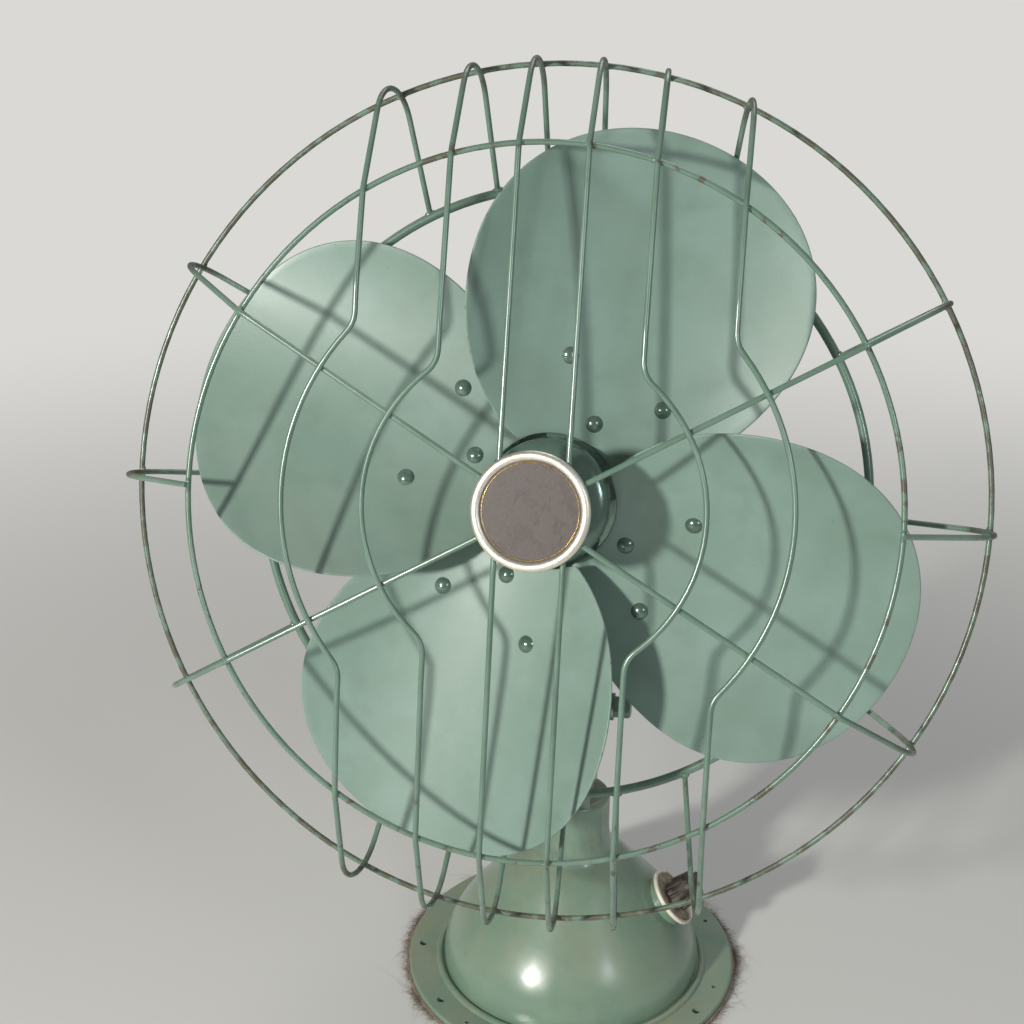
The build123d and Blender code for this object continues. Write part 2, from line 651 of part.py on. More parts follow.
def motor_rear_shell():
    """Rear bell end with its bearing seat."""
    shoulder = MOTOR_R - MOTOR_SHOULDER_R
    outer = make_face([
        Polyline((0, MOTOR_BACK_Y), (MOTOR_SHOULDER_R, MOTOR_BACK_Y)),
        ThreePointArc((MOTOR_SHOULDER_R, MOTOR_BACK_Y),
                      (MOTOR_SHOULDER_R + shoulder * sin(pi / 4),
                       MOTOR_BACK_Y - shoulder * (1 - cos(pi / 4))),
                      (MOTOR_R, MOTOR_BACK_Y - shoulder)),
        Polyline((MOTOR_R, MOTOR_BACK_Y - shoulder), (MOTOR_R, MOTOR_SPLIT_Y), (0, MOTOR_SPLIT_Y),
                 (0, MOTOR_BACK_Y)),
    ])
    bore = MOTOR_R - MOTOR_WALL
    seat_r = BEARING_R + MOTOR_WALL
    hollow = turned([(seat_r, MOTOR_BACK_Y - MOTOR_WALL), (MOTOR_SHOULDER_R, MOTOR_BACK_Y - MOTOR_WALL),
                     (bore, MOTOR_BACK_Y - shoulder), (bore, MOTOR_SPLIT_Y - 1), (seat_r, MOTOR_SPLIT_Y - 1)])
    throat = rod_y(seat_r + 1, MOTOR_SPLIT_Y - 1, REAR_BEARING_Y)
    shell = revolve(outer, Axis.Y) - hollow - throat
    shell -= rod_y(BEARING_R, REAR_BEARING_Y, MOTOR_BACK_Y)
    slots = vent_slots(MOTOR_BACK_Y - MOTOR_WALL - 9 - VENT_LENGTH)
    return shell - slots - tie_bolt_shanks()


def tie_bolt_shanks():
    """Cutters and shanks of the long bolts that clamp both bell ends."""
    return [around_spin(rod_y(TIE_BOLT_R, MOTOR_FACE_Y, MOTOR_BACK_Y, x=TIE_BOLT_REACH), angle)
            for angle in TIE_BOLT_ANGLES]


def tie_bolts():
    """Long bolts with round heads in front and hexagon nuts behind."""
    bolts = []
    for angle, shank in zip(TIE_BOLT_ANGLES, tie_bolt_shanks()):
        head = rod_y(2 * TIE_BOLT_R, MOTOR_FACE_Y - 2.5, MOTOR_FACE_Y, x=TIE_BOLT_REACH)
        head = fillet(head.edges().sort_by(Axis.Y)[0], 1.2)
        nut = Plane.XZ.offset(-MOTOR_BACK_Y) * Pos(TIE_BOLT_REACH, 0) * RegularPolygon(4.6, 6)
        bolts.append(shank + around_spin(head + extrude(nut, -2.2), angle))
    return solids_of(bolts)


def tube_y(outer, inner, start, end):
    """Tube along the spin axis."""
    return rod_y(outer, start, end) - rod_y(inner, start - 1, end + 1)


def stator_core():
    """Laminated ring that the bell ends clamp, with the tie bolts through it."""
    ring = tube_y(MOTOR_R - MOTOR_WALL, STATOR_IN_R, STATOR_FRONT_Y, STATOR_BACK_Y)
    return ring - tie_bolt_shanks()


def stator_windings():
    """Coil ends in front of and behind the core, shaped as bound rings inside the tie bolts."""
    outer = TIE_BOLT_REACH - TIE_BOLT_R - FREE_GAP
    front = tube_y(outer, STATOR_IN_R, STATOR_FRONT_Y - WINDING_LENGTH, STATOR_FRONT_Y)
    back = tube_y(outer, STATOR_IN_R, STATOR_BACK_Y, STATOR_BACK_Y + WINDING_LENGTH)
    return solids_of([front, back])


def rotor_core():
    """Laminated rotor pack."""
    return tube_y(STATOR_IN_R - ROTOR_GAP, SHAFT_R, STATOR_FRONT_Y, STATOR_BACK_Y)


def rotor_end_rings():
    """Cast rings at both ends of the rotor."""
    outer = STATOR_IN_R - ROTOR_GAP - 1
    inner = outer - 2 * ROTOR_END_RING
    front = tube_y(outer, inner, STATOR_FRONT_Y - ROTOR_END_RING, STATOR_FRONT_Y)
    back = tube_y(outer, inner, STATOR_BACK_Y, STATOR_BACK_Y + ROTOR_END_RING)
    return solids_of([front, back])


def bearing(start):
    """Bronze bush with running clearance on the shaft."""
    return tube_y(BEARING_R, SHAFT_R + RUNNING_CLEARANCE, start, start + BEARING_LENGTH)


# ---------------------------------------------------------------- gearbox
FIRST_WHEEL_R = FIRST_WHEEL_TEETH * GEAR_MODULE / 2
SECOND_WHEEL_R = SECOND_WHEEL_TEETH * GEAR_MODULE / 2
CROSS_Z = -(WORM_PITCH_R + FIRST_WHEEL_R + MESH_SLACK)
SPINDLE_X = SECOND_WORM_X
SPINDLE_Y = WORM_Y + WORM_PITCH_R + SECOND_WHEEL_R + MESH_SLACK
GEARBOX_FRONT_Y = MOTOR_BACK_Y + 2.6
SPINDLE_BOTTOM_Z = FOOT_BOTTOM + 2.0 - HEAD_RISE
LINK_TOP_Z = LINK_BOTTOM + LINK_THICK - HEAD_RISE
CRANK_PIN_X = SPINDLE_X - CRANK_THROW


def gear_disc(teeth, width):
    """Spur disc about Z, centred on its face width, with a tooth centred on +X."""
    pitch_r = teeth * GEAR_MODULE / 2
    pitch_angle = 360 / teeth
    half_tooth = TOOTH_SHARE * pitch_angle / 2
    points = []
    for tooth in range(teeth):
        middle = tooth * pitch_angle
        for radius, spread in ((pitch_r - 1.2 * GEAR_MODULE, -1.35), (pitch_r + 0.9 * GEAR_MODULE, -0.55),
                               (pitch_r + 0.9 * GEAR_MODULE, 0.55), (pitch_r - 1.2 * GEAR_MODULE, 1.35)):
            angle = radians(middle + spread * half_tooth)
            points.append((radius * cos(angle), radius * sin(angle)))
    return extrude(make_face(Polyline(*points, close=True)), width / 2, both=True)


def worm(length):
    """Worm about Z, centred on its length: a core with one helical thread."""
    pitch = pi * GEAR_MODULE
    turns = round(length / pitch) - 1
    low = WORM_PITCH_R - 1.1 * GEAR_MODULE
    high = WORM_PITCH_R + 0.9 * GEAR_MODULE
    root, tip = 1.35 * TOOTH_SHARE * pitch / 2, 0.55 * TOOTH_SHARE * pitch / 2
    helix = Pos(0, 0, -turns * pitch / 2) * Helix(pitch=pitch, height=turns * pitch, radius=low)
    start = Plane(origin=helix @ 0, x_dir=(1, 0, 0), z_dir=helix % 0)
    profile = make_face(Polyline((-0.3, -root), (high - low, -tip), (high - low, tip), (-0.3, root),
                                 close=True))
    thread = sweep(start * profile, path=helix, is_frenet=True)
    return thread + Cylinder(low, length)


def motor_shaft():
    """Shaft from the hub to the gearbox, turned down at its tail, with the first worm cut on it."""
    front = HUB_FRONT_Y - HUB_DOME
    shaft = rod_y(SHAFT_R, front, MOTOR_BACK_Y + 2)
    tail = rod_y(SHAFT_R - 0.8, MOTOR_BACK_Y + 1, WORM_Y + WORM_LENGTH / 2 + 3)
    return shaft + tail + Pos(0, WORM_Y, 0) * Rot(-90, 0, 0) * worm(WORM_LENGTH)


def cross_shaft():
    """Level shaft below the motor shaft, across it, with the second worm cut on it."""
    low, high = GEARBOX_LOW_X + GEARBOX_WALL, GEARBOX_HIGH_X - GEARBOX_WALL
    shaft = rod_x(CROSS_SHAFT_R, low - 1.5, high + 1.5, y=WORM_Y, z=CROSS_Z)
    return shaft + Pos(SECOND_WORM_X, WORM_Y, CROSS_Z) * Rot(0, 90, 0) * worm(SECOND_WORM_LENGTH)


def first_wheel():
    """Wheel on the cross shaft, driven by the motor shaft's worm."""
    wheel = Pos(0, WORM_Y, CROSS_Z) * Rot(0, 90, 0) * Rot(0, 0, 90 / FIRST_WHEEL_TEETH)
    disc = wheel * gear_disc(FIRST_WHEEL_TEETH, WHEEL_WIDTH)
    hub = rod_x(CROSS_SHAFT_R + 2.5, -6, 6, y=WORM_Y, z=CROSS_Z)
    return disc + hub - rod_x(CROSS_SHAFT_R, -20, 20, y=WORM_Y, z=CROSS_Z)


def second_wheel():
    """Wheel on the upright spindle."""
    turn = Rot(0, 0, 90 / SECOND_WHEEL_TEETH)
    disc = Pos(SPINDLE_X, SPINDLE_Y, CROSS_Z) * turn * gear_disc(SECOND_WHEEL_TEETH, WHEEL_WIDTH)
    hub = rod_z(SPINDLE_R + 2.5, CROSS_Z - 5, CROSS_Z + 5, SPINDLE_X, SPINDLE_Y)
    return disc + hub - rod_z(SPINDLE_R, CROSS_Z - 9, CROSS_Z + 9, SPINDLE_X, SPINDLE_Y)


def crank_spindle():
    """Upright spindle with the disc under the gearbox and the crank pin that the link hangs on."""
    spindle = rod_z(SPINDLE_R, SPINDLE_BOTTOM_Z - 1, CROSS_Z + 6, SPINDLE_X, SPINDLE_Y)
    disc = rod_z(CRANK_R, SPINDLE_BOTTOM_Z - CRANK_THICK, SPINDLE_BOTTOM_Z, SPINDLE_X, SPINDLE_Y)
    pin = rod_z(CRANK_PIN_R, LINK_TOP_Z - LINK_THICK - 1.8, SPINDLE_BOTTOM_Z - CRANK_THICK,
                CRANK_PIN_X, SPINDLE_Y)
    head = rod_z(CRANK_PIN_R + 2, LINK_TOP_Z - LINK_THICK - 2.6, LINK_TOP_Z - LINK_THICK - FREE_GAP,
                 CRANK_PIN_X, SPINDLE_Y)
    return spindle + disc + pin + head


def link_arm():
    """Link from the crank pin to the ear of the tilt bracket, with its pivot screw."""
    low = LINK_TOP_Z - LINK_THICK
    eye_x, eye_y = SPIN_OFFSET, HEAD_REACH + LINK_EAR_REACH
    crank = Vector(CRANK_PIN_X, SPINDLE_Y, low + LINK_THICK / 2)
    eye = Vector(eye_x, eye_y, low + LINK_THICK / 2)
    along = eye - crank
    bar = Plane(origin=(crank + eye) / 2, x_dir=along, z_dir=(0, 0, 1)) * Box(
        along.length, LINK_WIDTH, LINK_THICK)
    arm = bar + rod_z(LINK_EYE_R, low, LINK_TOP_Z, CRANK_PIN_X, SPINDLE_Y)
    arm += rod_z(LINK_EYE_R, low, LINK_TOP_Z, eye_x, eye_y)
    arm -= rod_z(CRANK_PIN_R + RUNNING_CLEARANCE, low - 1, LINK_TOP_Z + 1, CRANK_PIN_X, SPINDLE_Y)
    return arm - rod_z(LINK_PIN_R, low - 1, LINK_TOP_Z + 1, eye_x, eye_y)


def link_screw():
    """Shouldered screw in the link's free eye; its end stops just above the bracket's ear."""
    eye_x, eye_y = SPIN_OFFSET, HEAD_REACH + LINK_EAR_REACH
    end = SWIVEL_HUB_TOP + EAR_GAP - HEAD_RISE
    shank = rod_z(LINK_PIN_R, end, LINK_TOP_Z, eye_x, eye_y)
    return shank + rod_z(2 * LINK_PIN_R, LINK_TOP_Z, LINK_TOP_Z + 2, eye_x, eye_y)


def gearbox_case():
    """Box behind the motor with the bearings of both shafts and a long spindle boss."""
    size_x = GEARBOX_HIGH_X - GEARBOX_LOW_X
    size_y = GEARBOX_BACK_Y - GEARBOX_FRONT_Y
    size_z = GEARBOX_HIGH_Z - GEARBOX_LOW_Z
    centre = Pos((GEARBOX_HIGH_X + GEARBOX_LOW_X) / 2, (GEARBOX_BACK_Y + GEARBOX_FRONT_Y) / 2,
                 (GEARBOX_HIGH_Z + GEARBOX_LOW_Z) / 2)
    block = Box(size_x, size_y, size_z)
    block = fillet(block.edges().filter_by(Axis.Z), 7)
    block = fillet(block.faces().sort_by(Axis.Z)[0].edges(), 5)
    inside = Box(size_x - 2 * GEARBOX_WALL, size_y - 2 * GEARBOX_WALL, size_z)
    inside = Pos(0, 0, GEARBOX_WALL) * fillet(inside.edges().filter_by(Axis.Z), 5)
    case = centre * block
    foot = rod_y(BEARING_NOSE_R + 8, MOTOR_BACK_Y, GEARBOX_FRONT_Y + 1)
    foot -= Pos(0, MOTOR_BACK_Y, GEARBOX_HIGH_Z + MOTOR_R) * Box(4 * MOTOR_R, MOTOR_R, 2 * MOTOR_R)
    boss = rod_z(SPINDLE_BOSS_R, SPINDLE_BOTTOM_Z + FREE_GAP, GEARBOX_LOW_Z + 2, SPINDLE_X, SPINDLE_Y)
    case = case + foot + boss - centre * inside
    case -= rod_y(SHAFT_R + 1, MOTOR_BACK_Y - 1, GEARBOX_FRONT_Y + 2 * GEARBOX_WALL)
    case -= rod_z(SPINDLE_R + RUNNING_CLEARANCE, SPINDLE_BOTTOM_Z - 1, CROSS_Z, SPINDLE_X, SPINDLE_Y)
    for x in (GEARBOX_LOW_X, GEARBOX_HIGH_X - GEARBOX_WALL):
        case -= rod_x(CROSS_SHAFT_R + RUNNING_CLEARANCE, x, x + GEARBOX_WALL, y=WORM_Y, z=CROSS_Z)
    return case - lid_screw_shanks()


def lid_screw_places():
    """Four lid screws, in the corners of the gearbox wall."""
    inset = 4.0
    return [(x, y) for x in (GEARBOX_LOW_X + inset, GEARBOX_HIGH_X - inset)
            for y in (GEARBOX_FRONT_Y + inset, GEARBOX_BACK_Y - inset)]


def lid_screw_shanks():
    """Shanks of the lid screws, down into the gearbox's corners."""
    return [rod_z(1.2, GEARBOX_HIGH_Z - 8, GEARBOX_HIGH_Z + GEARBOX_LID_THICK, x, y)
            for x, y in lid_screw_places()]


def gearbox_lid():
    """Cover plate with a guide for the clutch rod."""
    size_x = GEARBOX_HIGH_X - GEARBOX_LOW_X
    size_y = GEARBOX_BACK_Y - GEARBOX_FRONT_Y
    plate = fillet(Box(size_x, size_y, GEARBOX_LID_THICK).edges().filter_by(Axis.Z), 7)
    plate = Pos((GEARBOX_HIGH_X + GEARBOX_LOW_X) / 2, (GEARBOX_BACK_Y + GEARBOX_FRONT_Y) / 2,
                GEARBOX_HIGH_Z + GEARBOX_LID_THICK / 2) * plate
    top = GEARBOX_HIGH_Z + GEARBOX_LID_THICK
    plate += rod_z(6, top, top + 4, SPINDLE_X, SPINDLE_Y)
    plate -= rod_z(CLUTCH_ROD_R + RUNNING_CLEARANCE, GEARBOX_HIGH_Z - 1, top + 5, SPINDLE_X, SPINDLE_Y)
    return plate - lid_screw_shanks()


def lid_screws():
    """Lid screws with round heads."""
    top = GEARBOX_HIGH_Z + GEARBOX_LID_THICK
    heads = [rod_z(2.6, top, top + 1.6, x, y) for x, y in lid_screw_places()]
    return solids_of([shank + head for shank, head in zip(lid_screw_shanks(), heads)])


def clutch_knob():
    """Pull knob on a rod; lifting it frees the crank spindle."""
    seat = GEARBOX_HIGH_Z + GEARBOX_LID_THICK + 4 + FREE_GAP
    knob = rod_z(CLUTCH_KNOB_R, seat + 3, seat + CLUTCH_KNOB_HEIGHT, SPINDLE_X, SPINDLE_Y)
    knob = fillet(knob.edges(), 2.5) + rod_z(4.5, seat, seat + 4, SPINDLE_X, SPINDLE_Y)
    return knob + rod_z(CLUTCH_ROD_R, CROSS_Z + 6 + FREE_GAP, seat + 4, SPINDLE_X, SPINDLE_Y)


# ---------------------------------------------------------------- swivel and tilt, swivel frame
def tilt_bracket():
    """Tongue on the tilt bolt, hub of the oscillation stud, and the ear that the link pulls on."""
    tongue = rod_x(TONGUE_R, -TONGUE_HALF_WIDTH, TONGUE_HALF_WIDTH)
    riser = Pos(0, 0, SWIVEL_HUB_LOW / 2 + 2) * Box(2 * TONGUE_HALF_WIDTH, 1.7 * TONGUE_R,
                                                    SWIVEL_HUB_LOW + 4)
    hub = rod_z(SWIVEL_HUB_R, SWIVEL_HUB_LOW, SWIVEL_HUB_TOP)
    ear = Pos(0, LINK_EAR_REACH / 2, SWIVEL_HUB_TOP - 3) * Box(14, LINK_EAR_REACH, 6)
    ear += rod_z(7, SWIVEL_HUB_TOP - 6, SWIVEL_HUB_TOP, 0, LINK_EAR_REACH)
    bracket = tongue + riser + hub + ear
    bracket -= rod_z(STUD_R + RUNNING_CLEARANCE, STUD_LOW - 1, SWIVEL_HUB_TOP + 1)
    bracket -= rod_z(LINK_PIN_R, SWIVEL_HUB_TOP - 7, SWIVEL_HUB_TOP + 1, 0, LINK_EAR_REACH)
    return bracket - rod_x(HINGE_BOLT_R + RUNNING_CLEARANCE, -20, 20)


STUD_TOP = HEAD_RISE - MOTOR_R - 2


def thrust_washer():
    """Washer that carries the motor on the hub."""
    washer = rod_z(WASHER_R, SWIVEL_HUB_TOP, SWIVEL_HUB_TOP + WASHER_THICK)
    return washer - rod_z(STUD_R + FREE_GAP, SWIVEL_HUB_TOP - 1, SWIVEL_HUB_TOP + 3)


def swivel_stud():
    """Stud that turns in the hub; its collar stands on the thrust washer, its top is in the foot."""
    collar_low = SWIVEL_HUB_TOP + WASHER_THICK + RUNNING_CLEARANCE
    stud = rod_z(STUD_R, STUD_LOW, STUD_TOP)
    return stud + rod_z(STUD_COLLAR_R, collar_low, FOOT_BOTTOM)


def motor_foot():
    """Cast saddle under the motor, fixed to both bell ends, that holds the stud."""
    post = rod_z(FOOT_R, FOOT_BOTTOM, HEAD_RISE - MOTOR_R / 2)
    saddle = Pos(-SPIN_OFFSET, 0, HEAD_RISE - MOTOR_R - 1) * Box(40, 62, 14)
    foot = post + saddle
    foot -= Pos(-SPIN_OFFSET, 0, HEAD_RISE) * Rot(90, 0, 0) * Cylinder(MOTOR_R, 200)
    return foot - rod_z(STUD_R, FOOT_BOTTOM - 1, STUD_TOP)


# ---------------------------------------------------------------- base
def bell_outline(inset):
    """Half outline of the bell from the dome's foot to the neck, moved in by the wall."""
    foot = (DOME_R - inset, FLANGE_TOP_Z)
    points = [(r - inset * 0.75, z - inset * 0.55) for r, z in BELL_POINTS]
    top = (NECK_R - inset, NECK_START_Z)
    return Spline(foot, *points, top, tangents=[(0, 1), (0, 1)])


def bell_solid(inset, top_z, low_z):
    """Bell turned about Z; inset is zero outside and the wall inside."""
    curve = bell_outline(inset)
    start, end = curve @ 0, curve @ 1
    face = make_face([
        Polyline((0, low_z), (start.X, low_z), (start.X, start.Y)),
        curve,
        Polyline((end.X, end.Y), (end.X, top_z), (0, top_z), (0, low_z)),
    ])
    return revolve(Plane.XZ * face, Axis.Z)


def fork():
    """Stem on top of the neck that ends in two cheeks, rounded off about the tilt bolt."""
    height = HINGE_HEIGHT - NECK_TOP_Z + 1
    below = Pos(0, 0, HINGE_HEIGHT - height / 2) * Box(2 * FORK_HALF_WIDTH, 2 * FORK_TOP_R, height)
    cheeks = below + rod_x(FORK_TOP_R, -FORK_HALF_WIDTH, FORK_HALF_WIDTH, z=HINGE_HEIGHT)
    cheeks += rod_x(FORK_BOSS_R, -HINGE_FACE_X, HINGE_FACE_X, z=HINGE_HEIGHT)
    slot_half = TONGUE_HALF_WIDTH + FREE_GAP
    slot_height = HINGE_HEIGHT + FORK_TOP_R - FORK_FLOOR_Z + 1
    slot = Pos(0, 0, FORK_FLOOR_Z + slot_height / 2) * Box(2 * slot_half, 4 * FORK_TOP_R, slot_height)
    return cheeks - slot


def dial_plane(lift):
    """Plane of the switch dial, lifted along its normal."""
    azimuth, elevation = radians(SWITCH_AZIMUTH), radians(SWITCH_ELEVATION)
    out = (cos(azimuth) * cos(elevation), sin(azimuth) * cos(elevation), sin(elevation))
    centre = (SWITCH_RADIUS * cos(azimuth) + lift * out[0],
              SWITCH_RADIUS * sin(azimuth) + lift * out[1], SWITCH_HEIGHT + lift * out[2])
    side = (-sin(azimuth), cos(azimuth), 0)
    return Plane(origin=centre, x_dir=side, z_dir=out)


def dial_rod(radius, low, high):
    """Cylinder on the switch's axis between two heights over the seat's root."""
    return dial_plane((low + high) / 2) * Cylinder(radius, high - low)


def flange_holes():
    """Cutters of the holes round the flange."""
    holes = []
    for angles, radius in ((LARGE_HOLE_ANGLES, LARGE_HOLE_R), (SMALL_HOLE_ANGLES, SMALL_HOLE_R)):
        for angle in angles:
            x, y = FLANGE_HOLE_REACH * cos(radians(angle)), FLANGE_HOLE_REACH * sin(radians(angle))
            holes.append(rod_z(radius, 0, 2 * FLANGE_TOP_Z, x, y))
    return holes


def plate_screw_places():
    """Where the bottom plate's screws stand."""
    return [(PLATE_SCREW_REACH * cos(radians(a)), PLATE_SCREW_REACH * sin(radians(a)))
            for a in PLATE_SCREW_ANGLES]


def base_shell():
    """Bell casting: flange, bead, dome, neck, fork, switch seat and screw posts."""
    flange = rod_z(FLANGE_R, BASE_BOTTOM_Z, FLANGE_TOP_Z)
    flange = fillet(flange.edges().sort_by(Axis.Z)[-1], FLANGE_THICK / 2)
    bead = Pos(0, 0, FLANGE_TOP_Z - BEAD_HALF_WIDTH / 4) * Torus(BEAD_R, BEAD_HALF_WIDTH)
    bead = bead & rod_z(FLANGE_R, BASE_BOTTOM_Z, FLANGE_TOP_Z + 2 * BEAD_HALF_WIDTH)
    shell = flange + bead + bell_solid(0, NECK_FLOOR_Z, BASE_BOTTOM_Z)
    seat = dial_rod(SEAT_R, -SEAT_R, SEAT_HEIGHT)
    shell += seat
    shell -= bell_solid(BASE_WALL, NECK_FLOOR_Z, BASE_BOTTOM_Z - 1)
    neck_top = rod_z(NECK_R, NECK_FLOOR_Z - 6, NECK_TOP_Z)
    shell += fillet(neck_top.edges().sort_by(Axis.Z)[-1], NECK_TOP_ROUND)
    shell += fork()
    for x, y in plate_screw_places():
        shell += rod_z(POST_R, PLATE_TOP_Z, 52, x, y) & bell_solid(BASE_WALL / 2, 60, 0)
        shell -= rod_z(PLATE_SCREW_R, 0, 20, x, y)
    shell -= rod_z(CHANNEL_R, NECK_FLOOR_Z - 10, FORK_FLOOR_Z + 1)
    shell -= rod_x(HINGE_BOLT_R, -40, 40, z=HINGE_HEIGHT)
    shell -= dial_rod(SWITCH_NECK_R, -SEAT_R - 5, SEAT_HEIGHT + 1)
    shell -= dial_rod(SWITCH_BODY_R + 1, -SWITCH_BODY_DEPTH - 20, -BASE_WALL)
    shell -= rod_y(BUSHING_R, DOME_R - 20, DOME_R + 4, z=BUSHING_Z)
    return shell - flange_holes()


def felt_pad():
    """Felt ring under the flange, a little wider than it."""
    return rod_z(FLANGE_R + FELT_OVERHANG, 0, FELT_THICK) - rod_z(FELT_IN_R, -1, FELT_THICK + 1)


def bottom_plate():
    """Steel disc that closes the base, with its screw holes."""
    plate = rod_z(PLATE_R, BASE_BOTTOM_Z, PLATE_TOP_Z)
    return plate - [rod_z(PLATE_SCREW_R, 0, 10, x, y) for x, y in plate_screw_places()]


def bottom_screws():
    """Screws of the bottom plate, their heads in the felt's open middle."""
    screws = []
    for x, y in plate_screw_places():
        head = rod_z(2 * PLATE_SCREW_R, BASE_BOTTOM_Z - 1.5, BASE_BOTTOM_Z, x, y)
        screws.append(head + rod_z(PLATE_SCREW_R, BASE_BOTTOM_Z, 14, x, y))
    return solids_of(screws)


def hinge_bolt():
    """Tilt bolt with a round head on the left cheek."""
    head_x = -HINGE_FACE_X - HINGE_WASHER_THICK
    head = rod_x(NUT_R + 1.5, head_x - BOLT_HEAD_LENGTH, head_x, z=HINGE_HEIGHT)
    head = fillet(head.edges().sort_by(Axis.X)[0], 2)
    end = HINGE_FACE_X + HINGE_WASHER_THICK + NUT_LENGTH - 2
    return head + rod_x(HINGE_BOLT_R, head_x, end, z=HINGE_HEIGHT)


def hinge_nut():
    """Capped hexagon nut on the right cheek."""
    start = HINGE_FACE_X + HINGE_WASHER_THICK
    hexagon = Plane.YZ.offset(start) * Pos(0, HINGE_HEIGHT) * RegularPolygon(NUT_R, 6)
    rounded_end = rod_x(NUT_R, start, start + NUT_LENGTH, z=HINGE_HEIGHT)
    rounded_end = fillet(rounded_end.edges().sort_by(Axis.X)[-1], NUT_R / 3)
    nut = extrude(hexagon, NUT_LENGTH) & rounded_end
    return nut - rod_x(HINGE_BOLT_R, start - 1, start + NUT_LENGTH - 2, z=HINGE_HEIGHT)


def hinge_washers():
    """A washer under the nut and one under the bolt's head."""
    washers = []
    for start in (HINGE_FACE_X, -HINGE_FACE_X - HINGE_WASHER_THICK):
        disc = rod_x(NUT_R + 2, start, start + HINGE_WASHER_THICK, z=HINGE_HEIGHT)
        washers.append(disc - rod_x(HINGE_BOLT_R, start - 1, start + 3, z=HINGE_HEIGHT))
    return solids_of(washers)


# ---------------------------------------------------------------- switch and wiring parts
DIAL_BACK = SEAT_HEIGHT
DIAL_FACE = SEAT_HEIGHT + DIAL_THICK
NUT_TOP = DIAL_FACE + SWITCH_NUT_THICK


def switch_dial():
    """Dished dial with a raised rim."""
    dial = dial_rod(DIAL_R, DIAL_BACK, DIAL_FACE)
    rim = dial_rod(DIAL_R, DIAL_FACE - 0.1, DIAL_BACK + DIAL_RIM_HEIGHT)
    rim -= dial_rod(DIAL_R - DIAL_RIM_WIDTH, 0, 20)
    return dial + rim - dial_rod(SWITCH_NECK_R, 0, 20)


def switch_body():
    """Rotary switch: round case inside the bell and a threaded neck through its wall."""
    case = dial_rod(SWITCH_BODY_R, -BASE_WALL - SWITCH_BODY_DEPTH, -BASE_WALL)
    neck = dial_rod(SWITCH_NECK_R, -BASE_WALL, NUT_TOP)
    bore = dial_rod(SWITCH_STEM_R + RUNNING_CLEARANCE, -BASE_WALL - 8, NUT_TOP + 1)
    return case + neck - bore


def switch_nut():
    """Ring nut that clamps the dial and the switch on the seat."""
    ring = dial_plane(DIAL_FACE) * extrude(RegularPolygon(SWITCH_NUT_R, 6), SWITCH_NUT_THICK)
    return ring - dial_rod(SWITCH_NECK_R, 0, 20)


def switch_knob():
    """Fluted knob with a pointer bar across its top and a stem into the switch."""
    foot = NUT_TOP + FREE_GAP
    body = dial_plane(foot) * extrude(Circle(KNOB_R), KNOB_HEIGHT,
                                      taper=degrees(atan2(KNOB_R * (1 - KNOB_SCALE), KNOB_HEIGHT)))
    for turn in range(KNOB_FLUTES):
        place = Rot(0, 0, 360 * turn / KNOB_FLUTES) * Pos(KNOB_R + 0.4, 0, KNOB_HEIGHT / 2)
        body -= dial_plane(foot) * place * Cylinder(1.7, KNOB_HEIGHT + 2)
    bar = Box(2 * KNOB_R * KNOB_SCALE, KNOB_BAR_WIDTH, 5)
    body += dial_plane(foot + KNOB_HEIGHT) * bar
    return body + dial_rod(SWITCH_STEM_R, -BASE_WALL - 6, foot + 1)


def speed_coil_core():
    """Laminated core of the speed-control choke, standing on the bottom plate."""
    x, y, z = COIL_CORE
    core = Pos(0, COIL_Y, PLATE_TOP_Z + z / 2) * Box(x, y, z)
    return core - Pos(0, COIL_Y, PLATE_TOP_Z + z / 2) * Box(COIL_WINDOW[0], 2 * y, COIL_WINDOW[1])


def speed_coil_winding():
    """Winding round the choke's lower limb, shaped as a bound block."""
    x, y, z = COIL_SIZE
    limb = (COIL_CORE[2] - COIL_WINDOW[1]) / 2
    low = PLATE_TOP_Z + COIL_GAP
    block = Pos(0, COIL_Y, low + z / 2) * Box(x, y, z)
    return block - Pos(0, COIL_Y, PLATE_TOP_Z + limb / 2) * Box(2 * x, COIL_CORE[1], limb)


def terminal_strip():
    """Insulating strip for the wire joints, with four screw wells."""
    x, y, z = TERMINAL_SIZE
    strip = Pos(0, TERMINAL_Y, PLATE_TOP_Z + z / 2) * Box(x, y, z)
    for index in range(4):
        strip -= rod_z(2.6, PLATE_TOP_Z + z / 2, PLATE_TOP_Z + z + 1, (index - 1.5) * x / 4, TERMINAL_Y)
    return strip


def cord_bushing():
    """Rubber bushing in the back of the dome where the supply cord would enter."""
    inner, outer = DOME_R - 12, DOME_R + 3
    bushing = rod_y(BUSHING_R, inner, outer, z=BUSHING_Z)
    bushing += rod_y(BUSHING_FLANGE_R, outer - 1, outer + 3, z=BUSHING_Z)
    return bushing - rod_y(BUSHING_BORE_R, inner - 1, outer + 4, z=BUSHING_Z)


# ---------------------------------------------------------------- all nodes
def base_nodes():
    """Nodes that stand on the table."""
    return {
        "base_shell": base_shell(), "base_felt_pad": felt_pad(), "base_bottom_plate": bottom_plate(),
        "bottom_plate_screws": bottom_screws(), "tilt_bolt": hinge_bolt(), "tilt_nut": hinge_nut(),
        "tilt_washers": hinge_washers(), "switch_dial": switch_dial(), "switch_body": switch_body(),
        "switch_nut": switch_nut(), "switch_knob": switch_knob(), "speed_coil_core": speed_coil_core(),
        "speed_coil_winding": speed_coil_winding(), "terminal_strip": terminal_strip(),
        "cord_bushing": cord_bushing(),
    }


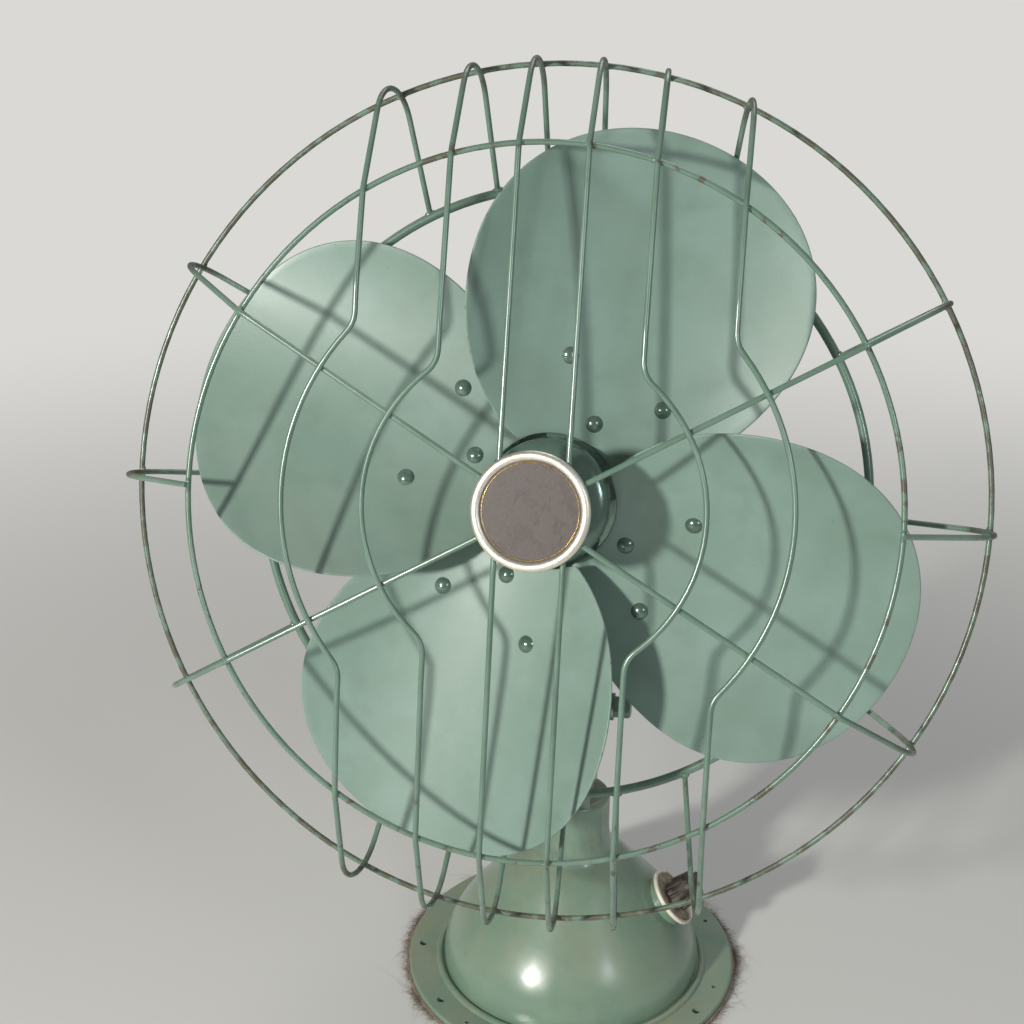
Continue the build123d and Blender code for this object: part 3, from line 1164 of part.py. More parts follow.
def swivel_nodes():
    """Nodes drawn in the swivel frame."""
    return {
        "tilt_bracket": tilt_bracket(), "thrust_washer": thrust_washer(),
        "swivel_stud": swivel_stud(), "motor_foot": motor_foot(),
    }


def guard_nodes():
    """Welded guard and its badge, in the spin frame."""
    spokes = [SPOKE_ANGLE, 180 - SPOKE_ANGLE, 180 + SPOKE_ANGLE, 360 - SPOKE_ANGLE]
    return {
        "guard_outer_ring": ring_y(OUTER_RING_R, WIRE_R, 0),
        "guard_front_ring": ring_y(FRONT_RING_R, WIRE_R, FRONT_RING_Y),
        "guard_rear_ring": ring_y(REAR_RING_R, REAR_RING_WIRE_R, REAR_RING_Y),
        "guard_centre_wires": solids_of([centre_wire(x) for x in (-CENTRE_WIRE_X, CENTRE_WIRE_X)]),
        "guard_middle_wires": solids_of([bowed_wire(x, MIDDLE_ARC_R)
                                         for x in (-MIDDLE_WIRE_X, MIDDLE_WIRE_X)]),
        "guard_side_wires": solids_of([bowed_wire(x, SIDE_ARC_R) for x in (-SIDE_WIRE_X, SIDE_WIRE_X)]),
        "guard_spokes": solids_of([spoke(angle) for angle in spokes]
                                  + [side_loop(angle) for angle in (0, 180)]),
        "guard_struts": solids_of([guard_strut(angle) for angle in STRUT_ANGLES]),
        "strut_screws": solids_of([strut_screw(angle) for angle in STRUT_ANGLES]),
        "badge_plate": badge_plate(), "badge_rim": badge_rim(), "badge_clamp": badge_clamp(),
        "badge_rivets": badge_rivets(),
    }


def rotor_nodes():
    """Everything that spins, in the spin frame."""
    nodes = {
        "hub_spider": hub_spider(), "hub_bush": hub_bush(), "hub_set_screw": set_screw(),
        "motor_shaft": motor_shaft(), "rotor_core": rotor_core(), "rotor_end_rings": rotor_end_rings(),
    }
    lobe = blade()
    rivets = []
    for turn in range(BLADE_COUNT):
        angle = BLADE_ANGLE + 360 * turn / BLADE_COUNT
        nodes[f"blade_{turn + 1}"] = around_spin(lobe, angle)
        rivets += [around_spin(blade_rivet(u, v), angle) for u, v in RIVETS]
    nodes["blade_rivets"] = solids_of(rivets)
    return nodes


def motor_nodes():
    """Motor and gearbox, in the spin frame."""
    return {
        "motor_front_shell": motor_front_shell(), "motor_rear_shell": motor_rear_shell(),
        "motor_tie_bolts": tie_bolts(), "stator_core": stator_core(),
        "stator_windings": stator_windings(), "front_bearing": bearing(BEARING_NOSE_Y),
        "rear_bearing": bearing(MOTOR_BACK_Y - BEARING_LENGTH), "gearbox_case": gearbox_case(),
        "gearbox_lid": gearbox_lid(), "gearbox_lid_screws": lid_screws(), "clutch_knob": clutch_knob(),
        "cross_shaft": cross_shaft(), "first_wheel": first_wheel(), "second_wheel": second_wheel(),
        "crank_spindle": crank_spindle(),
        "link_arm": link_arm(), "link_screw": link_screw(),
    }


def build():
    """All nodes in the base frame."""
    nodes = dict(base_nodes())
    for frame, group in ((SWIVEL, swivel_nodes()), (SPIN, guard_nodes()), (SPIN, rotor_nodes()),
                         (SPIN, motor_nodes())):
        for name, shape in group.items():
            nodes[name] = solids_of([frame * solid for solid in shape.solids()])
    return nodes


def main():
    os.makedirs("parts", exist_ok=True)
    for name, shape in build().items():
        export_step(shape, f"parts/{name}.step")


main()
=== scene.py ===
"""Looks of an electric desk fan with a wire guard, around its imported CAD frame."""
import json

import bpy
import numpy as np
from mathutils import Matrix, Vector


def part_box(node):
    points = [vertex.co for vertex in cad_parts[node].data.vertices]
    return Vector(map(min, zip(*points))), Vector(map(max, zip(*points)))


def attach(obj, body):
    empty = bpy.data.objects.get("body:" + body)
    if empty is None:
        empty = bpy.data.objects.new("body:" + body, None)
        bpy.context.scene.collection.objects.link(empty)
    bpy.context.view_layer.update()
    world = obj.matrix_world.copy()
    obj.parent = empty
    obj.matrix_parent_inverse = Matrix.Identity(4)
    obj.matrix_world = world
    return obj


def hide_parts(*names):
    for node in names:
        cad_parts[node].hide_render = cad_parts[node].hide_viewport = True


bl_info = {
    "name": "Desk Fan Looks",
    "version": (1, 0, 0),
    "blender": (4, 5, 0),
    "location": "View3D > Sidebar > Desk Fan",
    "description": "Enamel, welds, felt, windings and studio for a desk fan",
    "category": "Object",
}

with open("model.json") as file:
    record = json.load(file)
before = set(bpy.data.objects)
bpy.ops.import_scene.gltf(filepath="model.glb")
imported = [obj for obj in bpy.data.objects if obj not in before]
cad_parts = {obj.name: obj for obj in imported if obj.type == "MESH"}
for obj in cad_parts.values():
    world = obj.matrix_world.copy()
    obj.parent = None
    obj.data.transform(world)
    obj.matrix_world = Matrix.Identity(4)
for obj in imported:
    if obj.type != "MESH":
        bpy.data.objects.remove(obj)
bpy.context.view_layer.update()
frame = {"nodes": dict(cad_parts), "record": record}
NODES = frame["nodes"]
RECORD = frame["record"]
MM = 0.001
TURN = 2 * np.pi

# ---------------------------------------------------------------- places read from the frame
JOINTS = {joint["name"]: joint for joint in RECORD["behaviour"]["joints"]}
SPIN_CENTRE = np.array(JOINTS["blades_spin"]["pos_m"])
UP_AXIS = np.array(JOINTS["oscillate"]["axis"])
FORWARD_AXIS = np.array(JOINTS["blades_spin"]["axis"])
if FORWARD_AXIS[1] > 0:
    FORWARD_AXIS = -FORWARD_AXIS
# Columns: the fan's own right, back and up, in the frame's axes.
HEAD_TURN = np.column_stack([np.array([1.0, 0.0, 0.0]), -FORWARD_AXIS, UP_AXIS])

# ---------------------------------------------------------------- sizes of the pieces
# The guard's rings, in metres about the spin axis: centre-line radius, place along the axis
# and wire radius.
RINGS = {
    "guard_outer_ring": (0.230, 0.0, 0.0015),
    "guard_front_ring": (0.183, -0.0537, 0.0015),
    "guard_rear_ring": (0.170, 0.0355, 0.0025),
}
WIRE_NODES = ("guard_centre_wires", "guard_middle_wires", "guard_side_wires", "guard_spokes")
# A wire touches a ring where its surface comes this near the ring's, in metres, and one touch
# spreads over less than this angle, in radians.
TOUCH_REACH, TOUCH_SPREAD = 0.0016, 0.02
# A weld nugget's half thickness and its distance from the ring's centre line, in wire radii.
WELD_THICK, WELD_OFFSET = 0.72, 0.8

# Bent blade sheet, in millimetres: the rulings run outwards, across them the sheet is an arc.
BLADE_COUNT = 4
BLADE_ANGLE = 74.7
BLADE_ARC_R = 172.0
BLADE_CREST_ACROSS = -50.0
BLADE_CREST_BACK = 8.5
LOBE_OUT = 113.7
LOBE_ACROSS = -12.9
LOBE_R = 90.0
LOBE_OVAL, LOBE_OVAL_ANGLE = 3.3, -12.5
LOBE_EGG, LOBE_EGG_ANGLE = 2.4, 49.2
ROOT_R = 36.5
# The middle of a blade's grid lies further out than the lobe's own.
GRID_MIDDLE = np.array([LOBE_OUT + 18.0, LOBE_ACROSS])
RUBBED_EDGE = 14.0

# Felt under the base, in millimetres: its rim is pushed out and lifted by waves, counted a turn.
FELT_INNER, FELT_THICK = 72.0, 2.0
RIM_WAVES = (13, 23, 37, 53, 71)
RIM_RAGGED, RIM_LIFT = 0.275, 0.16

# Motor windings, in millimetres about the spin axis: radii, front and back of each end.
WINDING_INNER, WINDING_OUTER = 38.2, 44.0
END_TURNS = {"front": (88.0, 103.0), "rear": (149.0, 164.0)}
BINDINGS = 24
CORD_R = 0.45
# Power of a winding's rounded section: 1 is an ellipse, 0 a box.
WINDING_POWER, CHOKE_POWER = 0.55, 0.35
CHOKE_WIRE = 1.1 * MM

# Thin ring on the badge, in millimetres: radius, place of the badge's face, width, height and
# how far its foot goes in.
BADGE_RING_R, BADGE_FACE = 24.7, -65.5
BADGE_RING_WIDTH, BADGE_RING_HEIGHT, BADGE_RING_FOOT = 0.5, 0.28, 0.2

# Dial, in metres: the radii between which the dished face gives way to the rim.
DIAL_EDGE = (0.0168, 0.0172)

# Camera of the photograph: place in metres, then its right, up and forward directions.
CAMERA_PLACE = (0.1184, -0.9086, 0.7131)
CAMERA_RIGHT = (0.9846, 0.1745, 0.0041)
CAMERA_UP = (-0.0722, 0.3860, 0.9197)
CAMERA_FORWARD = (-0.1589, 0.9059, -0.3926)
CAMERA_LENS, CAMERA_SENSOR = 59.03, 36.0

# Studio, in metres: the floor's half side, how far it lies under the base, and the distances
# between which it fades into the background.
FLOOR_HALF, FLOOR_DROP = 6.0, 0.0004
FLOOR_FADE = (0.35, 1.6)


# ---------------------------------------------------------------- small helpers
def linear(hex_colour):
    """Linear RGBA of an sRGB hex colour."""
    srgb = np.array([int(hex_colour[i:i + 2], 16) / 255 for i in (1, 3, 5)])
    low, high = srgb / 12.92, ((srgb + 0.055) / 1.055) ** 2.4
    return (*np.where(srgb <= 0.04045, low, high).tolist(), 1.0)


def to_frame(points):
    """Head coordinates in metres (right, back, up about the spin centre) to the frame's axes."""
    return points @ HEAD_TURN.T + SPIN_CENTRE


def to_head(points):
    """Frame coordinates in metres to head coordinates."""
    return (points - SPIN_CENTRE) @ HEAD_TURN


def round_steps(count):
    """Angles of so many equal steps round a turn."""
    return np.linspace(0, TURN, count, endpoint=False)


def rows_of(*axes):
    """Points as rows, from one array an axis that need only broadcast together."""
    return np.stack(np.broadcast_arrays(*axes), axis=-1).reshape(-1, 3)


def about_axis(radius, back, angle):
    """Head coordinates of points at a radius, a place back and an angle about the spin axis."""
    return rows_of(radius * np.cos(angle), back, radius * np.sin(angle))


def rounded_box(angle, power):
    """Unit box with rounded corners: on each axis sign(w) * |w|^power of the cosine or sine w."""
    return (np.sign(wave) * np.abs(wave) ** power for wave in (np.cos(angle), np.sin(angle)))


def mesh_points(mesh):
    """Points of a mesh, as rows."""
    points = np.empty(len(mesh.vertices) * 3)
    mesh.vertices.foreach_get("co", points)
    return points.reshape(-1, 3)


def mesh_object(name, points, faces, attributes=None):
    """Object with its place in its mesh, smooth shaded; attributes are floats, one a point."""
    mesh = bpy.data.meshes.new(name)
    mesh.from_pydata(points.tolist(), [], faces.tolist() if hasattr(faces, "tolist") else faces)
    mesh.polygons.foreach_set("use_smooth", np.ones(len(mesh.polygons), dtype=bool))
    for key, values in (attributes or {}).items():
        layer = mesh.attributes.new(key, "FLOAT", "POINT")
        layer.data.foreach_set("value", values.astype(np.float32))
    mesh.update()
    piece = bpy.data.objects.new(name, mesh)
    bpy.context.scene.collection.objects.link(piece)
    return piece


def grid_faces(rows, columns, close_rows=False, close_columns=False, start=0):
    """Quads of a grid of points numbered row by row from start.

    A closed side joins its last line to its first.
    """
    i = np.arange(rows if close_rows else rows - 1)[:, None]
    j = np.arange(columns if close_columns else columns - 1)[None, :]
    i2, j2 = (i + 1) % rows, (j + 1) % columns
    corners = [i * columns + j, i * columns + j2, i2 * columns + j2, i2 * columns + j]
    return np.stack(corners, axis=-1).reshape(-1, 4) + start


def repeated(faces, corners, count):
    """Quads of one small piece of so many corners, repeated for a count of such pieces."""
    return (faces[None] + (np.arange(count) * corners)[:, None, None]).reshape(-1, 4)


def outward(piece):
    """Turn every face of a closed piece to the outside, by the sign of its volume."""
    mesh = piece.data
    mesh.calc_loop_triangles()
    triangles = np.empty(len(mesh.loop_triangles) * 3, dtype=np.int32)
    mesh.loop_triangles.foreach_get("vertices", triangles)
    a, b, c = mesh_points(mesh)[triangles.reshape(-1, 3)].transpose(1, 0, 2)
    if np.einsum("ij,ij->i", a, np.cross(b, c)).sum() < 0:
        mesh.flip_normals()
    return piece


def dressed(piece, material, body):
    """Give a piece its material and body."""
    piece.data.materials.append(material)
    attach(piece, body)
    return piece


# ---------------------------------------------------------------- material building
# Sockets by number: a map range takes its source at 0, that source's low and high at 1 and 2 and
# its own at 3 and 4. A colour mix takes its share at 0 and its colours at 6 and 7, and gives the
# mixed one at 2.
SMOOTH = {"interpolation_type": "SMOOTHSTEP"}
TIMES = {"operation": "MULTIPLY"}
LARGER = {"operation": "MAXIMUM"}
COLOURS = {"data_type": "RGBA"}


def add(owner, kind, settings=None, links=None):
    """Add one shader node to a material or the world.

    settings are its attributes; links are its inputs' values or other nodes' outputs.
    """
    tree = owner.node_tree
    node = tree.nodes.new(kind)
    for key, value in (settings or {}).items():
        setattr(node, key, value)
    for key, value in (links or {}).items():
        if isinstance(value, bpy.types.NodeSocket):
            tree.links.new(value, node.inputs[key])
        else:
            node.inputs[key].default_value = value
    return node


def empty_material(name):
    """Material without a shader yet, and its object coordinates."""
    material = bpy.data.materials.new(name)
    material.use_nodes = True
    material.node_tree.nodes.clear()
    return material, add(material, "ShaderNodeTexCoord").outputs["Object"]


def surfaced(material, inputs):
    """Close a material with its shader: inputs are constants or other nodes' outputs."""
    shader = add(material, "ShaderNodeBsdfPrincipled", None, inputs)
    add(material, "ShaderNodeOutputMaterial", None, {"Surface": shader.outputs[0]})
    return material


def per_metre(width):
    """Scale of a pattern whose marks are this wide, in millimetres."""
    return 1 / (width * MM)


def patchy(material, measure, zone, pattern, levels, strength=1.0):
    """Share of dirt or wear, where a measure lies in its zone and a pattern is high.

    Both ease in from the first to the second of their two values, and the share goes up to
    strength.
    """
    inside = add(material, "ShaderNodeMapRange", SMOOTH,
                 {0: measure, 1: zone[0], 2: zone[1], 4: strength}).outputs[0]
    broken = add(material, "ShaderNodeMapRange", SMOOTH,
                 {0: pattern, 1: levels[0], 2: levels[1]}).outputs[0]
    return add(material, "ShaderNodeMath", TIMES, {0: inside, 1: broken}).outputs[0]


def blended(material, pattern, levels, first, second):
    """Colour that eases from the first to the second as a pattern rises through its levels."""
    share = add(material, "ShaderNodeMapRange", SMOOTH,
                {0: pattern, 1: levels[0], 2: levels[1]}).outputs[0]
    return add(material, "ShaderNodeMix", COLOURS, {0: share, 6: first, 7: second}).outputs[2]


def head_coordinates(material):
    """Object coordinates turned into the head's own axes about the spin centre."""
    place = add(material, "ShaderNodeTexCoord").outputs["Object"]
    turn = Matrix(HEAD_TURN.T.tolist())
    shift = -(turn @ Vector(SPIN_CENTRE))
    return add(material, "ShaderNodeMapping", {"vector_type": "POINT"},
               {0: place, "Location": shift, "Rotation": tuple(turn.to_euler())}).outputs[0]


def stoved_enamel(name, colours, roughness=0.34, dust=0.5, marks=None, coat=0.3,
                  metallic=0.0, grain=0.06):
    """Stoved alkyd enamel on steel: a sprayed semi-gloss film, faintly rippled, dulled by dust.

    colours are the film, its faded and its stained tone, the dust and the tarnish under it.
    marks adds a share where the tarnish shows through; grain is the ripple's strength.
    """
    film, faded, stained, dusty, tarnish = (linear(colour) for colour in colours)
    speck_strength, chip_depth, chip_roughness = 0.22, 0.9, 0.72
    material, place = empty_material(name)
    # Width of the marks in millimetres, detail, roughness and distortion, of the dust's clouds,
    # the stains, the specks, the chips and the ripple that spraying leaves.
    clouds, stains, specks, chips, ripple = (
        add(material, "ShaderNodeTexNoise", None,
            {"Vector": place, "Scale": per_metre(width), "Detail": detail, "Roughness": uneven,
             "Distortion": bent}).outputs[0]
        for width, detail, uneven, bent in ((45.45, 4.0, 0.55, 0.0), (20.83, 3.0, 0.5, 0.2),
                                            (1.613, 3.0, 0.6, 0.0), (4.167, 4.0, 0.62, 0.0),
                                            (2.083, 2.0, 0.5, 0.0)))
    facing = add(material, "ShaderNodeNewGeometry").outputs["Normal"]
    upwards = add(material, "ShaderNodeSeparateXYZ", None, {0: facing}).outputs[2]
    settled = patchy(material, upwards, (0.2, 1.0), clouds, (0.30, 0.75), dust)
    dots = add(material, "ShaderNodeMapRange", SMOOTH,
               {0: specks, 1: 0.70, 2: 0.78, 4: speck_strength}).outputs[0]
    chipped = add(material, "ShaderNodeMapRange", SMOOTH,
                  {0: chips, 1: 0.735, 2: 0.77}).outputs[0]
    if marks is not None:
        chipped = add(material, "ShaderNodeMath", LARGER,
                      {0: chipped, 1: marks(material)}).outputs[0]
    base = blended(material, clouds, (0.38, 0.66), film, faded)
    base = blended(material, stains, (0.48, 0.95), base, stained)
    for share, colour in ((settled, dusty), (dots, tarnish), (chipped, tarnish)):
        base = add(material, "ShaderNodeMix", COLOURS, {0: share, 6: base, 7: colour}).outputs[2]
    dulled = add(material, "ShaderNodeMath", {"operation": "ADD"},
                 {0: settled, 1: chipped}).outputs[0]
    rough = add(material, "ShaderNodeMapRange", None,
                {0: dulled, 3: roughness, 4: chip_roughness}).outputs[0]
    height = add(material, "ShaderNodeMath", {"operation": "MULTIPLY_ADD"},
                 {0: chipped, 1: -chip_depth, 2: ripple}).outputs[0]
    bump = add(material, "ShaderNodeBump", None,
               {"Strength": grain, "Distance": 0.4 * MM, "Height": height}).outputs[0]
    return surfaced(material, {"Base Color": base, "Roughness": rough, "Normal": bump,
                               "IOR": 1.52, "Metallic": metallic, "Coat Weight": coat,
                               "Coat Roughness": 0.24})


def guard_marks(material):
    """Where the guard's film is worn: outer loops, joints at the front ring and low down.

    Distances are in metres, in head coordinates; the patches are about 8 mm wide.
    """
    strength = 0.8
    place = head_coordinates(material)
    axes = add(material, "ShaderNodeSeparateXYZ", None, {0: place})
    flat = add(material, "ShaderNodeCombineXYZ", None,
               {0: axes.outputs[0], 2: axes.outputs[2]}).outputs[0]
    reach = add(material, "ShaderNodeVectorMath", {"operation": "LENGTH"},
                {0: flat}).outputs["Value"]
    beyond = add(material, "ShaderNodeMath", {"operation": "SUBTRACT"},
                 {0: reach, 1: RINGS["guard_front_ring"][0]}).outputs[0]
    gap = add(material, "ShaderNodeMath", {"operation": "ABSOLUTE"}, {0: beyond}).outputs[0]
    patches = add(material, "ShaderNodeTexNoise", None,
                  {"Vector": place, "Scale": per_metre(8.333), "Detail": 4.0,
                   "Roughness": 0.6}).outputs[0]
    worn = 0.0
    for measure, zone, levels in ((reach, (0.212, 0.232), (0.36, 0.58)),
                                  (gap, (0.006, 0.001), (0.55, 0.64)),
                                  (axes.outputs[2], (-0.02, -0.20), (0.60, 0.68))):
        share = patchy(material, measure, zone, patches, levels, strength)
        worn = add(material, "ShaderNodeMath", LARGER, {0: worn, 1: share}).outputs[0]
    return worn


def edge_marks(material):
    """Where a blade's film is rubbed through: a thin broken line along its edge."""
    edge = add(material, "ShaderNodeAttribute", {"attribute_name": "edge"}).outputs["Fac"]
    place = add(material, "ShaderNodeTexCoord").outputs["Object"]
    broken = add(material, "ShaderNodeTexNoise", None,
                 {"Vector": place, "Scale": per_metre(3.846), "Detail": 3.0,
                  "Roughness": 0.6}).outputs[0]
    return patchy(material, edge, (0.955, 1.0), broken, (0.56, 0.76))


def base_marks(material):
    """Brown grime that has run down the neck and the upper bell, in streaks about 17 mm wide."""
    place = add(material, "ShaderNodeTexCoord").outputs["Object"]
    height = add(material, "ShaderNodeSeparateXYZ", None, {0: place}).outputs[2]
    drawn = add(material, "ShaderNodeMapping", {"vector_type": "POINT"},
                {0: place, "Scale": (1.0, 1.0, 0.35)}).outputs[0]
    streaks = add(material, "ShaderNodeTexNoise", None,
                  {"Vector": drawn, "Scale": per_metre(16.67), "Detail": 4.0,
                   "Roughness": 0.6}).outputs[0]
    return patchy(material, height, (0.07, 0.125), streaks, (0.46, 0.72), 0.55)


def metal(name, colour, dull, roughness, grain=1.111, film=0.35):
    """Plain metal: fine working marks, grain millimetres wide, under a dull film in patches."""
    material, place = empty_material(name)
    marks, patches = (
        add(material, "ShaderNodeTexNoise", None,
            {"Vector": place, "Scale": per_metre(width), "Detail": detail,
             "Roughness": 0.6}).outputs[0] for width, detail in ((grain, 3.0), (11.11, 4.0)))
    dulled = add(material, "ShaderNodeMapRange", SMOOTH,
                 {0: patches, 1: 0.42, 2: 0.68, 4: film}).outputs[0]
    base = add(material, "ShaderNodeMix", COLOURS,
               {0: dulled, 6: linear(colour), 7: linear(dull)}).outputs[2]
    rough = add(material, "ShaderNodeMapRange", None,
                {0: marks, 1: 0.3, 2: 0.7, 3: roughness - 0.07, 4: roughness + 0.10}).outputs[0]
    bump = add(material, "ShaderNodeBump", None,
               {"Strength": 0.12, "Distance": 0.3 * MM, "Height": marks}).outputs[0]
    return surfaced(material, {"Base Color": base, "Roughness": rough, "Normal": bump,
                               "Metallic": 1.0})


def dielectric(name, colour, dusty, roughness, ior=1.5, grain=2.0, strength=0.2, dust=0.5):
    """Moulded or painted non-metal: a colour under dust in patches, with a fine texture.

    grain is the texture's width in millimetres and strength how much it shows.
    """
    material, place = empty_material(name)
    texture, patches = (
        add(material, "ShaderNodeTexNoise", None,
            {"Vector": place, "Scale": per_metre(width), "Detail": detail,
             "Roughness": uneven}).outputs[0]
        for width, detail, uneven in ((grain, 4.0, 0.6), (6.25, 5.0, 0.65)))
    settled = add(material, "ShaderNodeMapRange", SMOOTH,
                  {0: patches, 1: 0.40, 2: 0.66, 4: dust}).outputs[0]
    base = add(material, "ShaderNodeMix", COLOURS,
               {0: settled, 6: linear(colour), 7: linear(dusty)}).outputs[2]
    rough = add(material, "ShaderNodeMapRange", None,
                {0: settled, 3: roughness, 4: 0.9}).outputs[0]
    bump = add(material, "ShaderNodeBump", None,
               {"Strength": strength, "Distance": 0.5 * MM, "Height": texture}).outputs[0]
    return surfaced(material, {"Base Color": base, "Roughness": rough, "Normal": bump,
                               "IOR": ior})


def dial_paint(name):
    """Cream dial paint: a tan, dusty dished face inside a rim that handling keeps bright."""
    joint = JOINTS["switch_turn"]
    material, place = empty_material(name)
    from_centre = add(material, "ShaderNodeVectorMath", {"operation": "SUBTRACT"},
                      {0: place, 1: joint["pos_m"]}).outputs[0]
    flat = add(material, "ShaderNodeVectorMath", {"operation": "CROSS_PRODUCT"},
               {0: from_centre, 1: joint["axis"]}).outputs[0]
    reach = add(material, "ShaderNodeVectorMath", {"operation": "LENGTH"},
                {0: flat}).outputs["Value"]
    dust = add(material, "ShaderNodeTexNoise", None,
               {"Vector": place, "Scale": per_metre(5.263), "Detail": 5.0,
                "Roughness": 0.65}).outputs[0]
    face = blended(material, dust, (0.38, 0.62), linear("#B7A993"), linear("#8C7D69"))
    rim = blended(material, dust, (0.52, 0.70), linear("#EDE6D4"), linear("#C9BDA3"))
    base = blended(material, reach, DIAL_EDGE, face, rim)
    bump = add(material, "ShaderNodeBump", None,
               {"Strength": 0.25, "Distance": 0.4 * MM, "Height": dust}).outputs[0]
    return surfaced(material, {"Base Color": base, "Normal": bump, "Roughness": 0.55})


def stacked_steel(name):
    """Electrical steel laminations with edges dark with oil.

    Real ones are 0.5 mm thick; they are drawn at 1.2 mm, or they would be too fine to show. A
    wave pattern has twenty radians to its unit.
    """
    lamination = 1.2083
    material, _ = empty_material(name)
    sheets = add(material, "ShaderNodeTexWave", {"wave_type": "BANDS", "bands_direction": "Y"},
                 {"Vector": head_coordinates(material), "Scale": TURN / 20 * per_metre(lamination),
                  "Distortion": 0.3, "Detail": 1.0}).outputs[1]
    base = add(material, "ShaderNodeMix", COLOURS,
               {0: sheets, 6: linear("#3D3B38"), 7: linear("#7C7A76")}).outputs[2]
    bump = add(material, "ShaderNodeBump", None,
               {"Strength": 0.5, "Distance": 0.5 * MM, "Height": sheets}).outputs[0]
    return surfaced(material, {"Base Color": base, "Normal": bump, "Metallic": 1.0,
                               "Roughness": 0.5})


# Enamels by part: film, faded, stained, dust, tarnish.
ENAMEL = ("#7B9588", "#839D92", "#748D80", "#858F7C", "#5E5A4A")
GUARD_ENAMEL = ("#63806F", "#6F8B7C", "#5A6D5E", "#8A8368", "#4F412A")
BASE_ENAMEL = ("#78937F", "#829B87", "#6F8772", "#8F9075", "#54492F")
# The hub's enamel is darker than the rest as painted shade, for the shade the badge casts on the
# hub; its gloss and metal sheen are its own.
HUB_ENAMEL_PAINTED_SHADE = ("#607B6C", "#728C7F", "#4A5D50", "#646C59", "#35332A")

# Nodes whose finish isn't that of their material slot. The hub and the blades' rivets take the
# hub's darker enamel, which is painted shade.
OWN_FINISH = {"base_shell": "base_enamel", "switch_dial": "dial_face",
              "badge_rivets": "badge_field", "hub_spider": "hub_painted_shade",
              "blade_rivets": "hub_painted_shade"}
FINISHES = {}


def all_finishes():
    """One finish for each material slot of the record, then those of single pieces."""
    return {
        # Sprayed film: soft highlights, thin and worn on wire.
        "green_enamel": stoved_enamel("stoved_green_enamel", ENAMEL),
        "guard_enamel": stoved_enamel("stoved_guard_enamel", GUARD_ENAMEL, roughness=0.24,
                                      dust=0.15, marks=guard_marks, coat=0.7),
        # Plated, stacked, sintered, drawn and cast metal, each dulled by its own tarnish.
        "plain_steel": metal("zinc_plated_steel", "#A9A8A3", "#6E675C", 0.34),
        "lamination_steel": stacked_steel("laminated_electrical_steel"),
        "bronze": metal("sintered_bronze", "#9C7444", "#5E4A33", 0.42, grain=0.7143),
        "winding_wire": metal("enamelled_copper_wire", "#8E4A28", "#5A3420", 0.36, grain=1.429),
        "cast_aluminium": metal("cast_aluminium", "#A4A5A3", "#77756F", 0.46, grain=1.667),
        # Moulded phenolic shines darkly under brown dust; nickel plate is a soft, warm mirror.
        "dark_plastic": dielectric("moulded_phenolic", "#2B2520", "#776B5D", 0.34, ior=1.55,
                                   dust=0.6),
        "cream_metal": metal("nickel_plated_brass", "#FBF7EA", "#E6D8B2", 0.42),
        "badge_field": dielectric("baked_badge_lacquer", "#5C5451", "#6E6561", 0.36, dust=0.45),
        # Pressed wool scatters all light; moulded rubber has only a broad grey sheen.
        "felt": dielectric("grey_brown_wool_felt", "#85796A", "#A49784", 0.92, ior=1.4,
                           grain=0.6667, strength=0.8),
        "rubber": dielectric("moulded_black_rubber", "#1F1E1D", "#4C4640", 0.62),
        "base_enamel": stoved_enamel("stoved_base_enamel", BASE_ENAMEL, roughness=0.25,
                                     dust=0.8, coat=0.6, marks=base_marks),
        "blade_enamel": stoved_enamel("stoved_blade_enamel", ENAMEL, roughness=0.46,
                                      marks=edge_marks, coat=0.12, grain=0.13),
        # Darker film as painted shade on the hub behind the badge and round the rivet heads; the
        # gloss and part-metal sheen are the pressed steel's own.
        "hub_painted_shade": stoved_enamel("stoved_hub_paint_painted_shade", HUB_ENAMEL_PAINTED_SHADE, roughness=0.20,
                                    dust=0.2, coat=1.0, metallic=0.45),
        "gilt": metal("gilt_brass", "#C9A862", "#8D7444", 0.3, film=0.6),
        "dial_face": dial_paint("dusty_dial_paint"),
        "cord": dielectric("waxed_cotton_cord", "#B9A98A", "#8C7C60", 0.8, ior=1.45,
                           grain=0.5556, strength=0.6),
    }


# ---------------------------------------------------------------- piece shapes
def blade_rays(angle):
    """Blade outline seen flat, as rays from the grid's middle, in millimetres.

    The lobe's rim is a circle with an oval wave of two humps and an egg wave of three. A ray that
    would run into the circle round the hub ends on it, where |middle + k * ray| = ROOT_R.
    """
    oval = LOBE_OVAL * np.cos(2 * (angle - np.radians(LOBE_OVAL_ANGLE)))
    egg = LOBE_EGG * np.cos(3 * (angle - np.radians(LOBE_EGG_ANGLE)))
    lobe = np.array([[LOBE_OUT], [LOBE_ACROSS]])
    middle = GRID_MIDDLE[:, None]
    rays = lobe + (LOBE_R + oval + egg) * np.array([np.cos(angle), np.sin(angle)]) - middle
    a = (rays ** 2).sum(0)
    b = 2 * (rays * middle).sum(0)
    c = (middle ** 2).sum() - ROOT_R ** 2
    root = b * b - 4 * a * c
    nearer = (-b - np.sqrt(np.maximum(root, 0))) / (2 * a)
    return rays * np.minimum(np.where((root > 0) & (b < 0), nearer, 1.0), 1.0)


